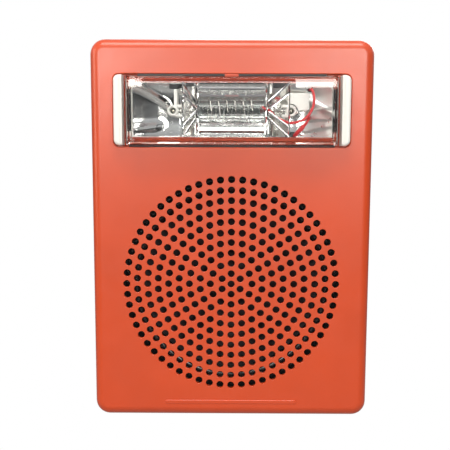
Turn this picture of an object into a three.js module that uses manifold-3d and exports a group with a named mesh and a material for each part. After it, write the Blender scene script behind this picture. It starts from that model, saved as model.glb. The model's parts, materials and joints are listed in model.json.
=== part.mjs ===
// Wall speaker strobe for a fire alarm system: a red moulded cover with a round perforated
// grille over a 4 inch loudspeaker, and a xenon strobe bar above it.
//
// Millimetres. +Z is up, +X is to the right and -Y points out of the wall at the viewer.
// The origin is the middle of the cover's outline, in the plane of the wall. What lies at
// Y > 0 goes into the electrical box behind the unit.

import * as THREE from 'three';
import { mergeVertices } from 'three/addons/utils/BufferGeometryUtils.js';
import ManifoldModule from 'manifold-3d';

const wasm = await ManifoldModule();
wasm.setup();

// ---------------------------------------------------------------- driving dimensions

const gap = 0.3;                 // between two pieces that rest on each other

// cover
const coverWidth = 121;
const coverHeight = 165;
const coverDepth = 31;
const coverWall = 2.4;
const coverCorner = 6.4;         // radius of the outline's corners
const coverEdge = 4.5;           // radius of the rounded front edge
const grilleWall = 1.3;          // the front is thinner behind the grille's holes
const tongueWidth = 12;          // the four snap tongues inside the top and bottom walls
const tongueThickness = 1.2;
const tongueSpacing = 62;
const tongueFoot = 1;            // from the wall to a tongue's end

// grille
const grilleBottom = 60.1;       // from the cover's lower edge to the grille's centre
const holePitch = 4.56;
const holeDiameter = 3.1;
const holeRings = 10;
const holeSides = 6;

// mounting plate
const plateThickness = 2.5;
const plateFit = 0.5;            // between the plate's rim and the cover
const rimThickness = 1.8;
const rimHeight = 5.5;           // in front of the plate
const boxScrewSpacing = 88.9;    // box screws of a 4 inch square box
const boxSlotLength = 9;
const boxSlotWidth = 5;
const postRadius = 3.4;
const wireHoleRadius = 4;

// screws
const screwShankRadius = 1.25;
const screwHeadRadius = 2.6;
const screwHeadHeight = 1.6;
const screwGrip = 9;             // length in the post
const pilotFit = 0.3;            // between a shank and its hole

// loudspeaker
const gasketThickness = 3.1;
const gasketWidth = 2.7;
const flangeRadius = 50.8;
const frameBore = 45.2;          // inside the basket's flange
const flangeThickness = 1.3;
const earRadius = 4;
const earCircle = 53.2;          // radius of the circle of ear screws
const earAngle = 22;             // degrees above and below the horizontal
const coneRadius = 38.2;
const coneDepth = 11.9;
const paperThickness = 0.8;
const rollHeight = 1.9;          // of the half roll surround
const surroundLip = 1.3;         // flat at each side of the roll
const surroundFilm = 0.5;
const coneBow = 1.1;             // of the cone's profile from straight
const basketSeatRadius = 24;     // inside the basket's rear cup
const basketDepth = 16.7;        // from the flange's front to the cup's floor
const cupDepth = 3.4;
const basketWindows = 6;
const windowBand = 3;            // of metal left outside the windows
const spokeAngle = 0.32;         // of a spoke between two windows, in radians
const basketClearance = 1.7;     // between the coil's slit and the cup's bore
const coilRadius = 10.8;
const coilThickness = 0.9;
const coilLength = 9.6;
const coilGap = 0.5;             // each side of the coil in the magnet's slit
const capHeight = 4.1;
const capOverlap = 1.2;          // of the dust cap's edge over the cone's neck
const spiderFilm = 0.4;
const spiderFolds = 3;
const spiderWave = 0.7;          // of a fold to each side
const spiderSeat = 2.2;          // in front of the basket cup's floor
const topPlateRadius = 24.5;
const topPlateThickness = 4;
const magnetRadius = 27.5;
const magnetBore = 14;
const magnetThickness = 9;
const yokeThickness = 3.5;
const magnetFit = 2.5;           // between the magnet and the plate's hole

// strobe window and lens
const strobeTop = 30.1;          // from the cover's upper edge to the lens's centre line
const lensWidth = 90.6;
const lensHeight = 29.4;
const lensRise = 9;              // in front of the cover
const lensWall = 1.6;
const lensSideDraft = 2.2;       // how far an end leans in
const lensTopDraft = 1.7;        // how far the top and the bottom lean in
const optic = { left: -20.5, right: 24.2, height: 1.5, ribs: 8, inset: 1.9 };
const windowFit = 0.7;           // between the window and what stands in it
const windowCorner = 2.6;

// strobe tray and lens clips
const clipWidth = 4.2;           // of the cream clip at each end of the lens
const clipRise = 5;
const clipCorner = 2.4;
const trayLip = 2.6;             // of the tray's flange behind the window's edge
const trayThickness = 2;
const trayDrop = 1;              // from the cover's front back to the tray's raised floor
const legSize = 4;
const legSpread = 16;            // between the two legs at one end

// reflector and flash tube
const reflectorWall = 1;
const reflectorHeight = 24.4;
const reflectorHalf = 27;        // half length of the trough behind the tube
const troughDepth = 6.2;
const wingSeat = 1.6;            // from the trough's deepest line out to a wing's root
const wingOverlap = 0.6;         // of a wing with the trough
const troughFront = 0.6;         // from the cover's front back to the trough's edges
const wingFront = 3;             // from the cover's front out to the wings' tips
const wingFit = 1.1;             // between the wings' tips and the lens's inner wall
const tubeRadius = 2;
const tubeBore = 1.4;
const tubeLength = 32;
const tubeSetback = 0.8;         // from the cover's front back to the tube's axis
const capLength = 2.4;
const leadRadius = 0.4;
const terminalSpacing = 50.2;
const terminalRadius = 0.9;
const eyeletRadius = 2.1;
const eyeletThickness = 1;
const triggerRadius = 0.2;
const triggerTurns = 6;
const triggerPitch = 3.4;
const sleeveRadius = 0.6;        // of the red leads
const grommet = { width: 4.2, height: 2.8, rise: 2.2 };

// board
const boardThickness = 1.6;
const boardStandoff = 6.8;       // between the plate and the board
const boardSide = 3.2;           // between the board's ends and the cover
const boardTop = 3;
const boardBottom = 3;           // between the board and the loudspeaker's flange
const boardScrewInset = 4.5;
const capacitor = { radius: 5.4, from: -32, to: -4, nose: 1.2, rise: 8.5 };
const coil = { radius: 2.6, flange: 4, flangeWidth: 1.4, from: 5, to: 15, rise: 9 };
const drum = { core: 4.4, flange: 5.6, flangeWidth: 1.6, height: 10, rise: 9.5, clearance: 4.7 };
const transistor = { width: 10, body: 9, depth: 4.4, tab: 1.3, reach: 11, hole: 1.8, rise: 8,
  clearance: 3.3 };
const chip = { width: 10, height: 6.6, depth: 2, pins: 6, pinWidth: 0.5, pinReach: 1.3, x: 20,
  rise: 17.8 };

// box side: terminals, tap selector, candela switch, transformer
const poles = 4;
const polePitch = 9.5;
const blockHeight = 12;
const blockDepth = 12;
const blockRise = 39.2;          // from the grille's centre up to the block's middle
const cageTravel = 2.4;
const tapReach = 40;             // from the grille's centre to the tap selector
const tapSize = 13;
const tapKnobRadius = 4.2;
const tapDepth = { front: 3.5, rear: 3 };
const candelaSteps = 3;
const candelaStep = 2.5;
const candelaX = -24;
const coreSize = { width: 28, height: 20, stack: 8, leg: 5 };
const windingBulge = 3;
const coreClearance = 1.5;       // between the core and the plate's rim

// ---------------------------------------------------------------- derived places

const yFront = -coverDepth;
const yInside = yFront + coverWall;
const yPlate = -plateThickness;
const innerHalfWidth = coverWidth / 2 - coverWall;
const innerHalfHeight = coverHeight / 2 - coverWall;
const zGrille = -coverHeight / 2 + grilleBottom;
const zStrobe = coverHeight / 2 - strobeTop;

const yGasket = yInside + gap;
const yFlange = yGasket + gasketThickness + gap;
const yCupFloor = yFlange + basketDepth;
const yTopPlate = yCupFloor + flangeThickness + gap;
const yMagnet = yTopPlate + topPlateThickness + gap;
const yYoke = yMagnet + magnetThickness + gap;
const boardRear = yPlate - boardStandoff - gap;
const boardFront = boardRear - boardThickness;
const boardHalf = innerHalfWidth - boardSide;
const boardLow = zGrille + flangeRadius + boardBottom;
const boardHigh = innerHalfHeight - boardTop;
const ySeat = yInside + gap;     // front of the strobe tray's flange
const yTube = yFront + tubeSetback;
const clipOuter = lensWidth / 2 + gap + clipWidth;
const windowHalf = { x: clipOuter + windowFit, z: lensHeight / 2 + windowFit };
const wingReach = lensWidth / 2 - lensWall - wingFit;
const legInner = windowHalf.x - legSize;  // inner side of the tray's legs
const gasketOuter = earCircle - screwHeadRadius - gap;
const zBlock = zGrille + blockRise;

// ---------------------------------------------------------------- solids

// A closed three.js geometry as a solid. Vertices that coincide are joined, flat triangles
// are dropped, and the faces are turned outwards if the profile ran the other way.
function solid(geometry) {
  const bare = geometry.clone();
  bare.deleteAttribute('normal');
  bare.deleteAttribute('uv');
  const merged = mergeVertices(bare, 1e-4);
  const index = merged.index.array;
  const triangles = [];
  for (let i = 0; i < index.length; i += 3) {
    const [a, b, c] = [index[i], index[i + 1], index[i + 2]];
    if (a !== b && b !== c && c !== a) triangles.push(a, b, c);
  }
  if (signedVolume(merged.attributes.position, triangles) < 0) triangles.reverse();
  return new wasm.Manifold(new wasm.Mesh({
    numProp: 3,
    vertProperties: new Float32Array(merged.attributes.position.array),
    triVerts: new Uint32Array(triangles),
  }));
}

function signedVolume(position, triangles) {
  const corner = [0, 1, 2].map(() => new THREE.Vector3());
  let sum = 0;
  for (let i = 0; i < triangles.length; i += 3) {
    corner.forEach((v, k) => v.fromBufferAttribute(position, triangles[i + k]));
    sum += corner[0].dot(corner[1].cross(corner[2]));
  }
  return sum;
}

function geometryOf(manifold) {
  const mesh = manifold.getMesh();
  const geometry = new THREE.BufferGeometry();
  geometry.setAttribute('position', new THREE.Float32BufferAttribute(mesh.vertProperties, 3));
  geometry.setIndex(Array.from(mesh.triVerts));
  geometry.computeVertexNormals();
  return geometry;
}

const join = (...pieces) => wasm.Manifold.union(pieces.flat());

function box([x0, x1], [y0, y1], [z0, z1]) {
  const geometry = new THREE.BoxGeometry(x1 - x0, y1 - y0, z1 - z0);
  return solid(geometry.translate((x0 + x1) / 2, (y0 + y1) / 2, (z0 + z1) / 2));
}

const around = (middle, size) => [middle - size / 2, middle + size / 2];

// A cylinder along X, Y or Z between two ordinates.
function rod(axis, radius, [from, to], [u, v], sides = 16) {
  const geometry = new THREE.CylinderGeometry(radius, radius, to - from, sides);
  const middle = (from + to) / 2;
  if (axis === 'x') return solid(geometry.rotateZ(Math.PI / 2).translate(middle, u, v));
  if (axis === 'z') return solid(geometry.rotateX(Math.PI / 2).translate(u, v, middle));
  return solid(geometry.translate(u, middle, v));
}

// A profile of (radius, y) points turned about a line along Y through (x, z).
function turned(points, [x, z], sides) {
  const profile = points.map(([r, y]) => new THREE.Vector2(r, y));
  return solid(new THREE.LatheGeometry(profile, sides).translate(x, 0, z));
}

function closedTurned(points, centre, sides) {
  return turned([...points, points[0]], centre, sides);
}

function roundedOutline(width, height, radius) {
  const [w, h] = [width / 2, height / 2];
  const outline = new THREE.Shape();
  outline.moveTo(-w + radius, -h);
  outline.lineTo(w - radius, -h);
  outline.absarc(w - radius, -h + radius, radius, -Math.PI / 2, 0);
  outline.lineTo(w, h - radius);
  outline.absarc(w - radius, h - radius, radius, 0, Math.PI / 2);
  outline.lineTo(-w + radius, h);
  outline.absarc(-w + radius, h - radius, radius, Math.PI / 2, Math.PI);
  outline.lineTo(-w, -h + radius);
  outline.absarc(-w + radius, -h + radius, radius, Math.PI, 1.5 * Math.PI);
  return outline;
}

// An outline in X and Z, extruded along Y from yBack forward to yNear.
function slab(outline, yBack, yNear, [x, z] = [0, 0], curveSegments = 4) {
  const options = { depth: yBack - yNear, bevelEnabled: false, curveSegments };
  return solid(new THREE.ExtrudeGeometry(outline, options).rotateX(Math.PI / 2)
    .translate(x, yBack, z));
}

// A rounded block whose front edge is rounded too. Its back is cut flat at yBack.
function pillow(width, height, corner, edge, yBack, yNear) {
  const outline = roundedOutline(width - 2 * edge, height - 2 * edge, Math.max(corner - edge, 0.4));
  const geometry = new THREE.ExtrudeGeometry(outline, {
    depth: yBack - yNear, bevelThickness: edge, bevelSize: edge, bevelSegments: 3, curveSegments: 3,
  });
  const long = solid(geometry.rotateX(Math.PI / 2).translate(0, yBack + edge, 0));
  const reach = Math.max(width, height);
  const behind = box([-reach, reach], [yBack, yBack + 4 * edge], [-reach, reach]);
  return long.subtract(behind);
}

// A polygon in the plane of Y and another axis, extruded along the third axis.
function prism(along, points, [from, to]) {
  const outline = new THREE.Shape(points.map(([u, y]) => new THREE.Vector2(u, y)));
  const geometry = new THREE.ExtrudeGeometry(outline, { depth: to - from, bevelEnabled: false });
  if (along === 'z') return solid(geometry.translate(0, 0, from));
  // u becomes Z and the extrusion runs along X
  const swap = new THREE.Matrix4().set(0, 0, 1, from, 0, 1, 0, 0, 1, 0, 0, 0, 0, 0, 0, 1);
  return solid(geometry.applyMatrix4(swap));
}

// A round wire along a smooth curve through the points.
function wire(points, radius, steps, sides = 5) {
  const path = new THREE.CatmullRomCurve3(points.map((p) => new THREE.Vector3(...p)));
  return alongPath(path, radius, steps, sides);
}

function alongPath(path, radius, steps, sides) {
  const section = new THREE.Shape();
  for (let i = 0; i <= sides; i += 1) {
    const turn = (2 * Math.PI * i) / sides;
    const [u, v] = [radius * Math.cos(turn), radius * Math.sin(turn)];
    if (i === 0) section.moveTo(u, v);
    else section.lineTo(u, v);
  }
  return solid(new THREE.ExtrudeGeometry(section, { steps, extrudePath: path }));
}

// ---------------------------------------------------------------- the scene

const group = new THREE.Group();

function finish(colour, roughness, metalness = 0, opacity = 1) {
  return { color: colour, roughness, metalness, opacity, transparent: opacity < 1 };
}

const finishes = {
  redPlastic: finish(0xd9402b, 0.42),
  greyPlastic: finish(0x3a3b3d, 0.55),
  cream: finish(0xe9e2d2, 0.45),
  clear: finish(0xf4f6f7, 0.06, 0, 0.25),
  mirror: finish(0xdadbd8, 0.12, 1),
  glass: finish(0xf0f3f4, 0.05, 0, 0.35),
  steel: finish(0xb9bcc0, 0.35, 1),
  brass: finish(0xc9a04a, 0.35, 1),
  blackSteel: finish(0x1c1c1e, 0.5, 0.4),
  ferrite: finish(0x2b2b2d, 0.75),
  foam: finish(0x1e1e1f, 0.95),
  paper: finish(0x26262a, 0.85),
  rubber: finish(0x151516, 0.35),
  copper: finish(0xb4622f, 0.35, 1),
  board: finish(0x1d6b3f, 0.5),
  black: finish(0x171718, 0.45),
  blue: finish(0x20365f, 0.4),
  redSleeve: finish(0xb3171c, 0.5),
  blackSleeve: finish(0x1a1a1b, 0.5),
  amber: finish(0xc78a3c, 0.6),
};

function add(name, manifold, look) {
  const mesh = new THREE.Mesh(geometryOf(manifold), new THREE.MeshStandardMaterial(finishes[look]));
  mesh.name = name;
  group.add(mesh);
}

// ---------------------------------------------------------------- cover

// The centre hole and rings of six times the ring's number, on one pitch.
function grilleHoles() {
  const holes = [];
  for (let ring = 0; ring <= holeRings; ring += 1) {
    const count = ring === 0 ? 1 : 6 * ring;
    for (let i = 0; i < count; i += 1) {
      const turn = (2 * Math.PI * i) / count;
      const x = ring * holePitch * Math.sin(turn);
      const z = zGrille + ring * holePitch * Math.cos(turn);
      const reach = [yFront - coverWall, yInside + coverWall];
      holes.push(rod('y', holeDiameter / 2, reach, [x, z], holeSides));
    }
  }
  return holes;
}

function tonguePlaces() {
  return [-1, 1].flatMap((side) => [-1, 1].map((end) => [side * tongueSpacing / 2, end]));
}

function frontCover() {
  const outer = pillow(coverWidth, coverHeight, coverCorner, coverEdge, 0, yFront);
  const inner = pillow(2 * innerHalfWidth, 2 * innerHalfHeight, coverCorner - coverWall,
    coverEdge - coverWall, coverWall, yInside);
  const window = slab(roundedOutline(2 * windowHalf.x, 2 * windowHalf.z, windowCorner),
    yInside + coverWall, yFront - coverWall, [0, zStrobe]);
  const tongues = tonguePlaces().map(([x, end]) => box(around(x, tongueWidth),
    [yPlate - rimHeight - tongueWidth / 2, -tongueFoot],
    end > 0 ? [innerHalfHeight - tongueThickness, innerHalfHeight + coverWall / 2]
      : [-innerHalfHeight - coverWall / 2, -innerHalfHeight + tongueThickness]));
  const recess = rod('y', gasketOuter - gasketWidth, [yFront + grilleWall, yInside + 1],
    [0, zGrille], 48);
  return join(outer.subtract(inner), tongues).subtract(join(window, recess, grilleHoles()));
}

// ---------------------------------------------------------------- mounting plate

const rimHalf = { x: innerHalfWidth - plateFit, z: innerHalfHeight - plateFit };

function earPlaces() {
  const turns = [earAngle, 180 - earAngle, 180 + earAngle, 360 - earAngle];
  return turns.map((degrees) => {
    const turn = THREE.MathUtils.degToRad(degrees);
    return [earCircle * Math.cos(turn), zGrille + earCircle * Math.sin(turn)];
  });
}

function boardScrewPlaces() {
  const x = boardHalf - boardScrewInset;
  return [[-x, boardLow + boardScrewInset], [x, boardLow + boardScrewInset],
    [x, boardHigh - boardScrewInset], [-x, boardHigh - boardScrewInset]];
}

function boxScrewPlaces() {
  const half = boxScrewSpacing / 2;
  return [[-half, zGrille - half], [half, zGrille - half], [half, zGrille + half],
    [-half, zGrille + half]];
}

// A round post from the plate forward to yEnd.
function post([x, z], yEnd) {
  return rod('y', postRadius, [yEnd, yPlate / 2], [x, z], 12);
}

function pilotHole([x, z], yEnd) {
  const radius = screwShankRadius + pilotFit;
  return rod('y', radius, [yEnd - gap, yEnd + screwGrip], [x, z], 8);
}

const speakerPostEnd = yFlange + flangeThickness + gap;
const boardPostEnd = boardRear + gap;
const candelaZ = zStrobe;
const candelaReach = candelaSteps * candelaStep;
const leadHole = { x: 27, z: zBlock };

function mountingPlate() {
  const corner = coverCorner - coverWall - plateFit;
  const outline = roundedOutline(2 * rimHalf.x, 2 * rimHalf.z, corner);
  const sheet = slab(outline, 0, yPlate);
  const tray = slab(outline, 0, yPlate - rimHeight);
  const inside = slab(roundedOutline(2 * (rimHalf.x - rimThickness), 2 * (rimHalf.z - rimThickness),
    corner - rimThickness / 2), 1, yPlate - rimHeight - 1);
  const posts = [...earPlaces().map((p) => post(p, speakerPostEnd)),
    ...boardScrewPlaces().map((p) => post(p, boardPostEnd))];
  const pilots = [...earPlaces().map((p) => pilotHole(p, speakerPostEnd)),
    ...boardScrewPlaces().map((p) => pilotHole(p, boardPostEnd))];
  const through = [yPlate - 1, 1];
  const magnetHole = rod('y', magnetRadius + magnetFit, through, [0, zGrille], 28);
  const slots = boxScrewPlaces().map((p) => slab(
    roundedOutline(boxSlotLength, boxSlotWidth, boxSlotWidth / 2 - 0.01), 1, yPlate - 1, p));
  const notches = tonguePlaces().map(([x, end]) => box(around(x, tongueWidth + 2 * plateFit),
    [yPlate - rimHeight - 1, 1],
    end > 0 ? [rimHalf.z - tongueThickness - gap, rimHalf.z + 1]
      : [-rimHalf.z - 1, -rimHalf.z + tongueThickness + gap]));
  const tapHole = box(around(tapReach, tapSize + 2 * gap), through, around(zGrille, tapSize + 2 * gap));
  const candelaHole = box(around(candelaX, candelaReach + candelaKnob.width + 2), through,
    around(candelaZ, candelaKnob.height + 2));
  const leadHoles = [-1, 1].map((side) => rod('y', wireHoleRadius, through,
    [side * leadHole.x, leadHole.z], 14));
  const plate = join(sheet, tray.subtract(inside), posts);
  return plate.subtract(join(pilots, magnetHole, slots, notches, tapHole, candelaHole, leadHoles));
}

// ---------------------------------------------------------------- screws

// A pan head screw along Y. Its head's underside is at yHead and faces the wall.
function panScrew([x, z], yHead, length) {
  const yTop = yHead - screwHeadHeight;
  const body = turned([[0, yTop], [screwHeadRadius * 0.7, yTop],
    [screwHeadRadius, yTop + screwHeadHeight * 0.45], [screwHeadRadius, yHead],
    [screwShankRadius, yHead], [screwShankRadius, yHead + length - screwShankRadius],
    [0, yHead + length]], [x, z], 10);
  const recess = [screwHeadRadius * 1.1, screwHeadRadius * 0.26];
  const reach = [yTop - 1, yTop + screwHeadHeight * 0.55];
  return body.subtract(join(box(around(x, recess[0]), reach, around(z, recess[1])),
    box(around(x, recess[1]), reach, around(z, recess[0]))));
}

function screws(name, places, yHead, length) {
  places.forEach((place, i) => add(`${name}_${i + 1}`, panScrew(place, yHead, length), 'steel'));
}

// ---------------------------------------------------------------- loudspeaker

const speakerAxis = [0, zGrille];
const coneFront = yFlange - gap - paperThickness;
const neckRadius = coilRadius + gap;

// Depth of the basket's sloping wall, on the side that faces the cone.
function basketSlope(radius) {
  const [outer, rear] = [frameBore, yCupFloor - cupDepth];
  const front = yFlange + flangeThickness;
  return front + (outer - radius) * (rear - front) / (outer - basketSeatRadius);
}

function speakerBasket() {
  const t = flangeThickness;
  const cupFront = yCupFloor - cupDepth;
  const bore = coilRadius + coilGap + basketClearance;
  const shell = closedTurned([
    [flangeRadius, yFlange], [frameBore, yFlange], [frameBore, yFlange + t],
    [basketSeatRadius, cupFront], [basketSeatRadius, yCupFloor], [bore, yCupFloor],
    [bore, yCupFloor + t], [basketSeatRadius + t, yCupFloor + t], [basketSeatRadius + t, cupFront + t],
    [frameBore + t, yFlange + 2 * t], [frameBore + t, yFlange + t], [flangeRadius, yFlange + t],
  ], speakerAxis, 30);
  const ears = earPlaces().map((p) => rod('y', earRadius, [yFlange, yFlange + t], p, 12));
  const holes = earPlaces().map((p) => rod('y', screwShankRadius + pilotFit,
    [yFlange - 1, yFlange + t + 1], p, 8));
  const windows = [];
  for (let i = 0; i < basketWindows; i += 1) {
    const opening = new THREE.Shape();
    const middle = ((i + 0.5) * 2 * Math.PI) / basketWindows;
    const half = Math.PI / basketWindows - spokeAngle / 2;
    opening.absarc(0, 0, frameBore - windowBand, middle - half, middle + half, false);
    opening.absarc(0, 0, basketSeatRadius + windowBand + 1, middle + half, middle - half, true);
    opening.closePath();
    windows.push(slab(opening, yCupFloor, yFlange + t + 0.6, speakerAxis, 3));
  }
  return join(shell, ears).subtract(join(holes, windows));
}

function speakerGasket() {
  const outer = gasketOuter;
  return closedTurned([[outer, yGasket], [outer - gasketWidth, yGasket],
    [outer - gasketWidth, yGasket + gasketThickness], [outer, yGasket + gasketThickness]],
  speakerAxis, 30);
}

function surround() {
  const inner = coneRadius + gap;
  const lip = surroundLip;
  const outer = frameBore + lip;
  const rear = yFlange - gap;
  const film = surroundFilm;
  const rollHalf = (outer - inner) / 2 - lip;
  const middle = (outer + inner) / 2;
  const front = [[outer, rear - film]];
  const back = [[outer, rear]];
  const steps = 4;
  for (let i = 0; i <= steps; i += 1) {
    const turn = (Math.PI * i) / steps;
    const r = middle + rollHalf * Math.cos(turn);
    front.push([r, rear - film - rollHeight * Math.sin(turn)]);
    back.push([r, rear - (rollHeight * Math.sin(turn))]);
  }
  front.push([inner, rear - film]);
  back.push([inner, rear]);
  return closedTurned([...front, ...back.reverse()], speakerAxis, 30);
}

function cone() {
  const slope = coneDepth / (coneRadius - neckRadius);
  const middle = (coneRadius + neckRadius) / 2;
  const line = [[coneRadius, coneFront], [middle, coneFront + (coneRadius - middle) * slope + coneBow],
    [neckRadius, coneFront + coneDepth]];
  const rear = line.map(([r, y]) => [r, y + paperThickness]).reverse();
  return closedTurned([...line, ...rear], speakerAxis, 30);
}

const yNeck = coneFront + coneDepth;

function dustCap() {
  const radius = neckRadius + capOverlap;
  const rim = yNeck - capOverlap + gap / 3;
  const film = surroundFilm;
  const steps = 4;
  const dome = (offset) => Array.from({ length: steps + 1 }, (_, i) => {
    const turn = (Math.PI / 2) * (i / steps);
    const reach = radius * Math.cos(turn);
    return [i === steps ? 0 : reach, rim + offset - capHeight * Math.sin(turn)];
  });
  return turned([...dome(-film), ...dome(0).reverse()].concat([[radius, rim - film]]),
    speakerAxis, 20);
}

function voiceCoil() {
  const front = yNeck - 0.6;
  return closedTurned([[coilRadius, front], [coilRadius - coilThickness, front],
    [coilRadius - coilThickness, front + coilLength], [coilRadius, front + coilLength]],
  speakerAxis, 20);
}

function spider() {
  const [inner, outer] = [neckRadius, basketSeatRadius - gap];
  const middle = yCupFloor - spiderSeat;
  const film = spiderFilm;
  const folds = spiderFolds;
  const crest = (i) => (i === 0 || i === 2 * folds ? 0 : spiderWave * (i % 2 ? 1 : -1));
  const line = Array.from({ length: 2 * folds + 1 }, (_, i) => [
    inner + (outer - inner) * (i / (2 * folds)), middle + crest(i)]);
  const rear = line.map(([r, y]) => [r, y + film]).reverse();
  return closedTurned([...line, ...rear], speakerAxis, 20);
}

function topPlate() {
  const bore = coilRadius + coilGap;
  return closedTurned([[topPlateRadius, yTopPlate], [bore, yTopPlate],
    [bore, yTopPlate + topPlateThickness], [topPlateRadius, yTopPlate + topPlateThickness]],
  speakerAxis, 24);
}

function magnet() {
  const [front, rear] = [yMagnet, yMagnet + magnetThickness];
  const chamfer = 0.8;
  return closedTurned([[magnetRadius - chamfer, front], [magnetBore, front], [magnetBore, rear],
    [magnetRadius - chamfer, rear], [magnetRadius, rear - chamfer], [magnetRadius, front + chamfer]],
  speakerAxis, 28);
}

function yoke() {
  const pole = coilRadius - coilThickness - coilGap;
  const rear = yYoke + yokeThickness;
  return turned([[0, yTopPlate], [pole - 0.4, yTopPlate], [pole, yTopPlate + 0.4], [pole, yYoke],
    [topPlateRadius, yYoke], [topPlateRadius, rear - 1.2], [topPlateRadius - 1.2, rear], [0, rear]],
  speakerAxis, 24);
}

// The strip on the basket's left shoulder that the voice coil's leads are soldered to.
const strip = { width: 9.4, height: 15, thickness: 1.2, inset: 3.6, rise: 3.4 };
const lug = { width: 2.4, thickness: 0.8, length: 1.6, spacing: 8, inset: 2.2 };
const stripNear = basketSeatRadius + strip.inset;
const stripFar = stripNear + strip.width;
const stripRear = basketSlope(stripNear) + strip.rise;
const lugX = -stripFar + lug.inset;

function terminalStrip() {
  const sheet = box([-stripFar, -stripNear], [stripRear - strip.thickness, stripRear],
    around(zGrille, strip.height));
  const lugs = [-1, 1].map((side) => box(around(lugX, lug.width),
    [stripRear - strip.thickness / 2, stripRear + lug.length],
    around(zGrille + side * lug.spacing / 2, lug.thickness)));
  return join(sheet, lugs);
}

// ---------------------------------------------------------------- strobe

// The red tray behind the lens: a flange behind the window's edge, a raised floor that shows
// through the lens around the reflector, and four legs down to the board.
function strobeTray() {
  const flange = slab(roundedOutline(2 * (windowHalf.x + trayLip), 2 * (windowHalf.z + trayLip),
    windowCorner), ySeat + trayThickness, ySeat, [0, zStrobe]);
  const inside = lensWall + gap;
  const floor = slab(roundedOutline(lensWidth - 2 * inside, lensHeight - 2 * inside, 1),
    ySeat + 0.5, yFront + trayDrop, [0, zStrobe]);
  const hole = box([-wingReach - gap, wingReach + gap], [yFront, ySeat + trayThickness + 1],
    around(zStrobe, reflectorHeight + 2 * gap));
  const legs = [-1, 1].flatMap((side) => [-1, 1].map((end) => box(
    around(side * (windowHalf.x - legSize / 2), legSize), [ySeat + 0.5, boardFront - gap],
    around(zStrobe + end * legSpread / 2, legSize))));
  return join(flange, floor, legs).subtract(hole);
}

// One of the two cream clips that hold the lens's ends.
function lensClip(side) {
  const whole = slab(roundedOutline(2 * clipOuter, lensHeight, clipCorner), ySeat - gap,
    yFront - clipRise, [0, zStrobe]);
  const inner = clipOuter - clipWidth;
  const keep = side > 0 ? [inner, clipOuter + 1] : [-clipOuter - 1, -inner];
  return whole.intersect(box(keep, [yFront - clipRise - 1, ySeat], around(zStrobe, lensHeight + 2)));
}

// The box of the lens, leaning in from base to front, grown by `grow` on every side.
function lensBody(grow, yBack, yNear) {
  const [x, z] = [lensWidth / 2 + grow, lensHeight / 2 + grow];
  const [dx, dz] = [lensSideDraft, lensTopDraft];
  const sideways = prism('z', [[-x, yBack], [x, yBack], [x, yFront], [x - dx, yNear], [-x + dx, yNear],
    [-x, yFront]], [zStrobe - z, zStrobe + z]);
  const upright = prism('x', [[zStrobe - z, yBack], [zStrobe + z, yBack], [zStrobe + z, yFront],
    [zStrobe + z - dz, yNear], [zStrobe - z + dz, yNear], [zStrobe - z, yFront]], [-x, x]);
  return sideways.intersect(upright);
}

const lensNear = yFront - lensRise;

function strobeLens() {
  const rear = ySeat - gap;
  const shell = lensBody(0, rear, lensNear).subtract(
    lensBody(-lensWall, rear + 1, lensNear + lensWall));
  const inside = lensNear + lensWall;
  const half = lensHeight / 2 - lensWall - optic.inset;
  const ribHeight = (2 * half) / optic.ribs;
  const ribs = Array.from({ length: optic.ribs }, (_, i) => {
    const low = zStrobe - half + i * ribHeight;
    return prism('x', [[low, inside - 0.4], [low + ribHeight * 0.96, inside - 0.4],
      [low + ribHeight * (i < optic.ribs / 2 ? 0.2 : 0.76), inside + optic.height]],
    [optic.left, optic.right]);
  });
  return join(shell, ribs);
}

const terminalX = terminalSpacing / 2;

// A parabolic trough behind the tube, with a curved wing beyond each end of it.
function reflector() {
  const half = reflectorHeight / 2;
  const front = yFront + troughFront;
  const vertex = front + troughDepth;
  const steps = 8;
  const curve = (offset) => Array.from({ length: steps + 1 }, (_, i) => {
    const u = -1 + (2 * i) / steps;
    return [zStrobe + u * half, vertex + offset - troughDepth * u * u];
  });
  const trough = prism('x', [...curve(0), ...curve(reflectorWall).reverse()],
    [-reflectorHalf, reflectorHalf]);
  const root = reflectorHalf - wingOverlap;
  const seat = vertex - wingSeat;
  const wing = (side) => {
    const line = Array.from({ length: steps + 1 }, (_, i) => {
      const u = i / steps;
      return [side * (root + (wingReach - root) * u), seat + (yFront - wingFront - seat) * u * u];
    });
    const rear = line.map(([x, y]) => [x, y + reflectorWall]).reverse();
    return prism('z', [...line, ...rear], [zStrobe - half, zStrobe + half]);
  };
  const holes = [-1, 1].map((side) => rod('y', terminalRadius + 2 * gap,
    [yFront - 1, vertex + 4], [side * terminalX, zStrobe], 12));
  const leadHoles = [leadExit, returnExit].map(({ x, z }) => rod('y', sleeveRadius + 2 * gap,
    [yFront - wingFront, vertex + 4], [x, z], 10));
  const notch = box(around(terminalX, grommet.width + 2 * gap), [yFront - wingFront, vertex + 4],
    [zStrobe - half - 1, grommetTop + gap]);
  return join(trough, wing(-1), wing(1)).subtract(join(holes, leadHoles, notch));
}

function flashTube() {
  const half = tubeLength / 2;
  const geometry = new THREE.LatheGeometry([[tubeRadius, -half], [tubeRadius, half], [tubeBore, half],
    [tubeBore, -half], [tubeRadius, -half]].map(([r, y]) => new THREE.Vector2(r, y)), 16);
  return solid(geometry.rotateZ(-Math.PI / 2).translate(0, yTube, zStrobe));
}

// An electrode: the end seal, and the lead that reaches the terminal's eyelet.
function tubeCap(side) {
  const from = tubeLength / 2 + gap;
  const reach = terminalX - eyeletRadius - gap;
  const span = (a, b) => (side > 0 ? [a, b] : [-b, -a]);
  return join(rod('x', tubeRadius * 0.9, span(from, from + capLength), [yTube, zStrobe], 14),
    rod('x', leadRadius, span(from + capLength - 0.2, reach), [yTube, zStrobe], 8));
}

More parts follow.
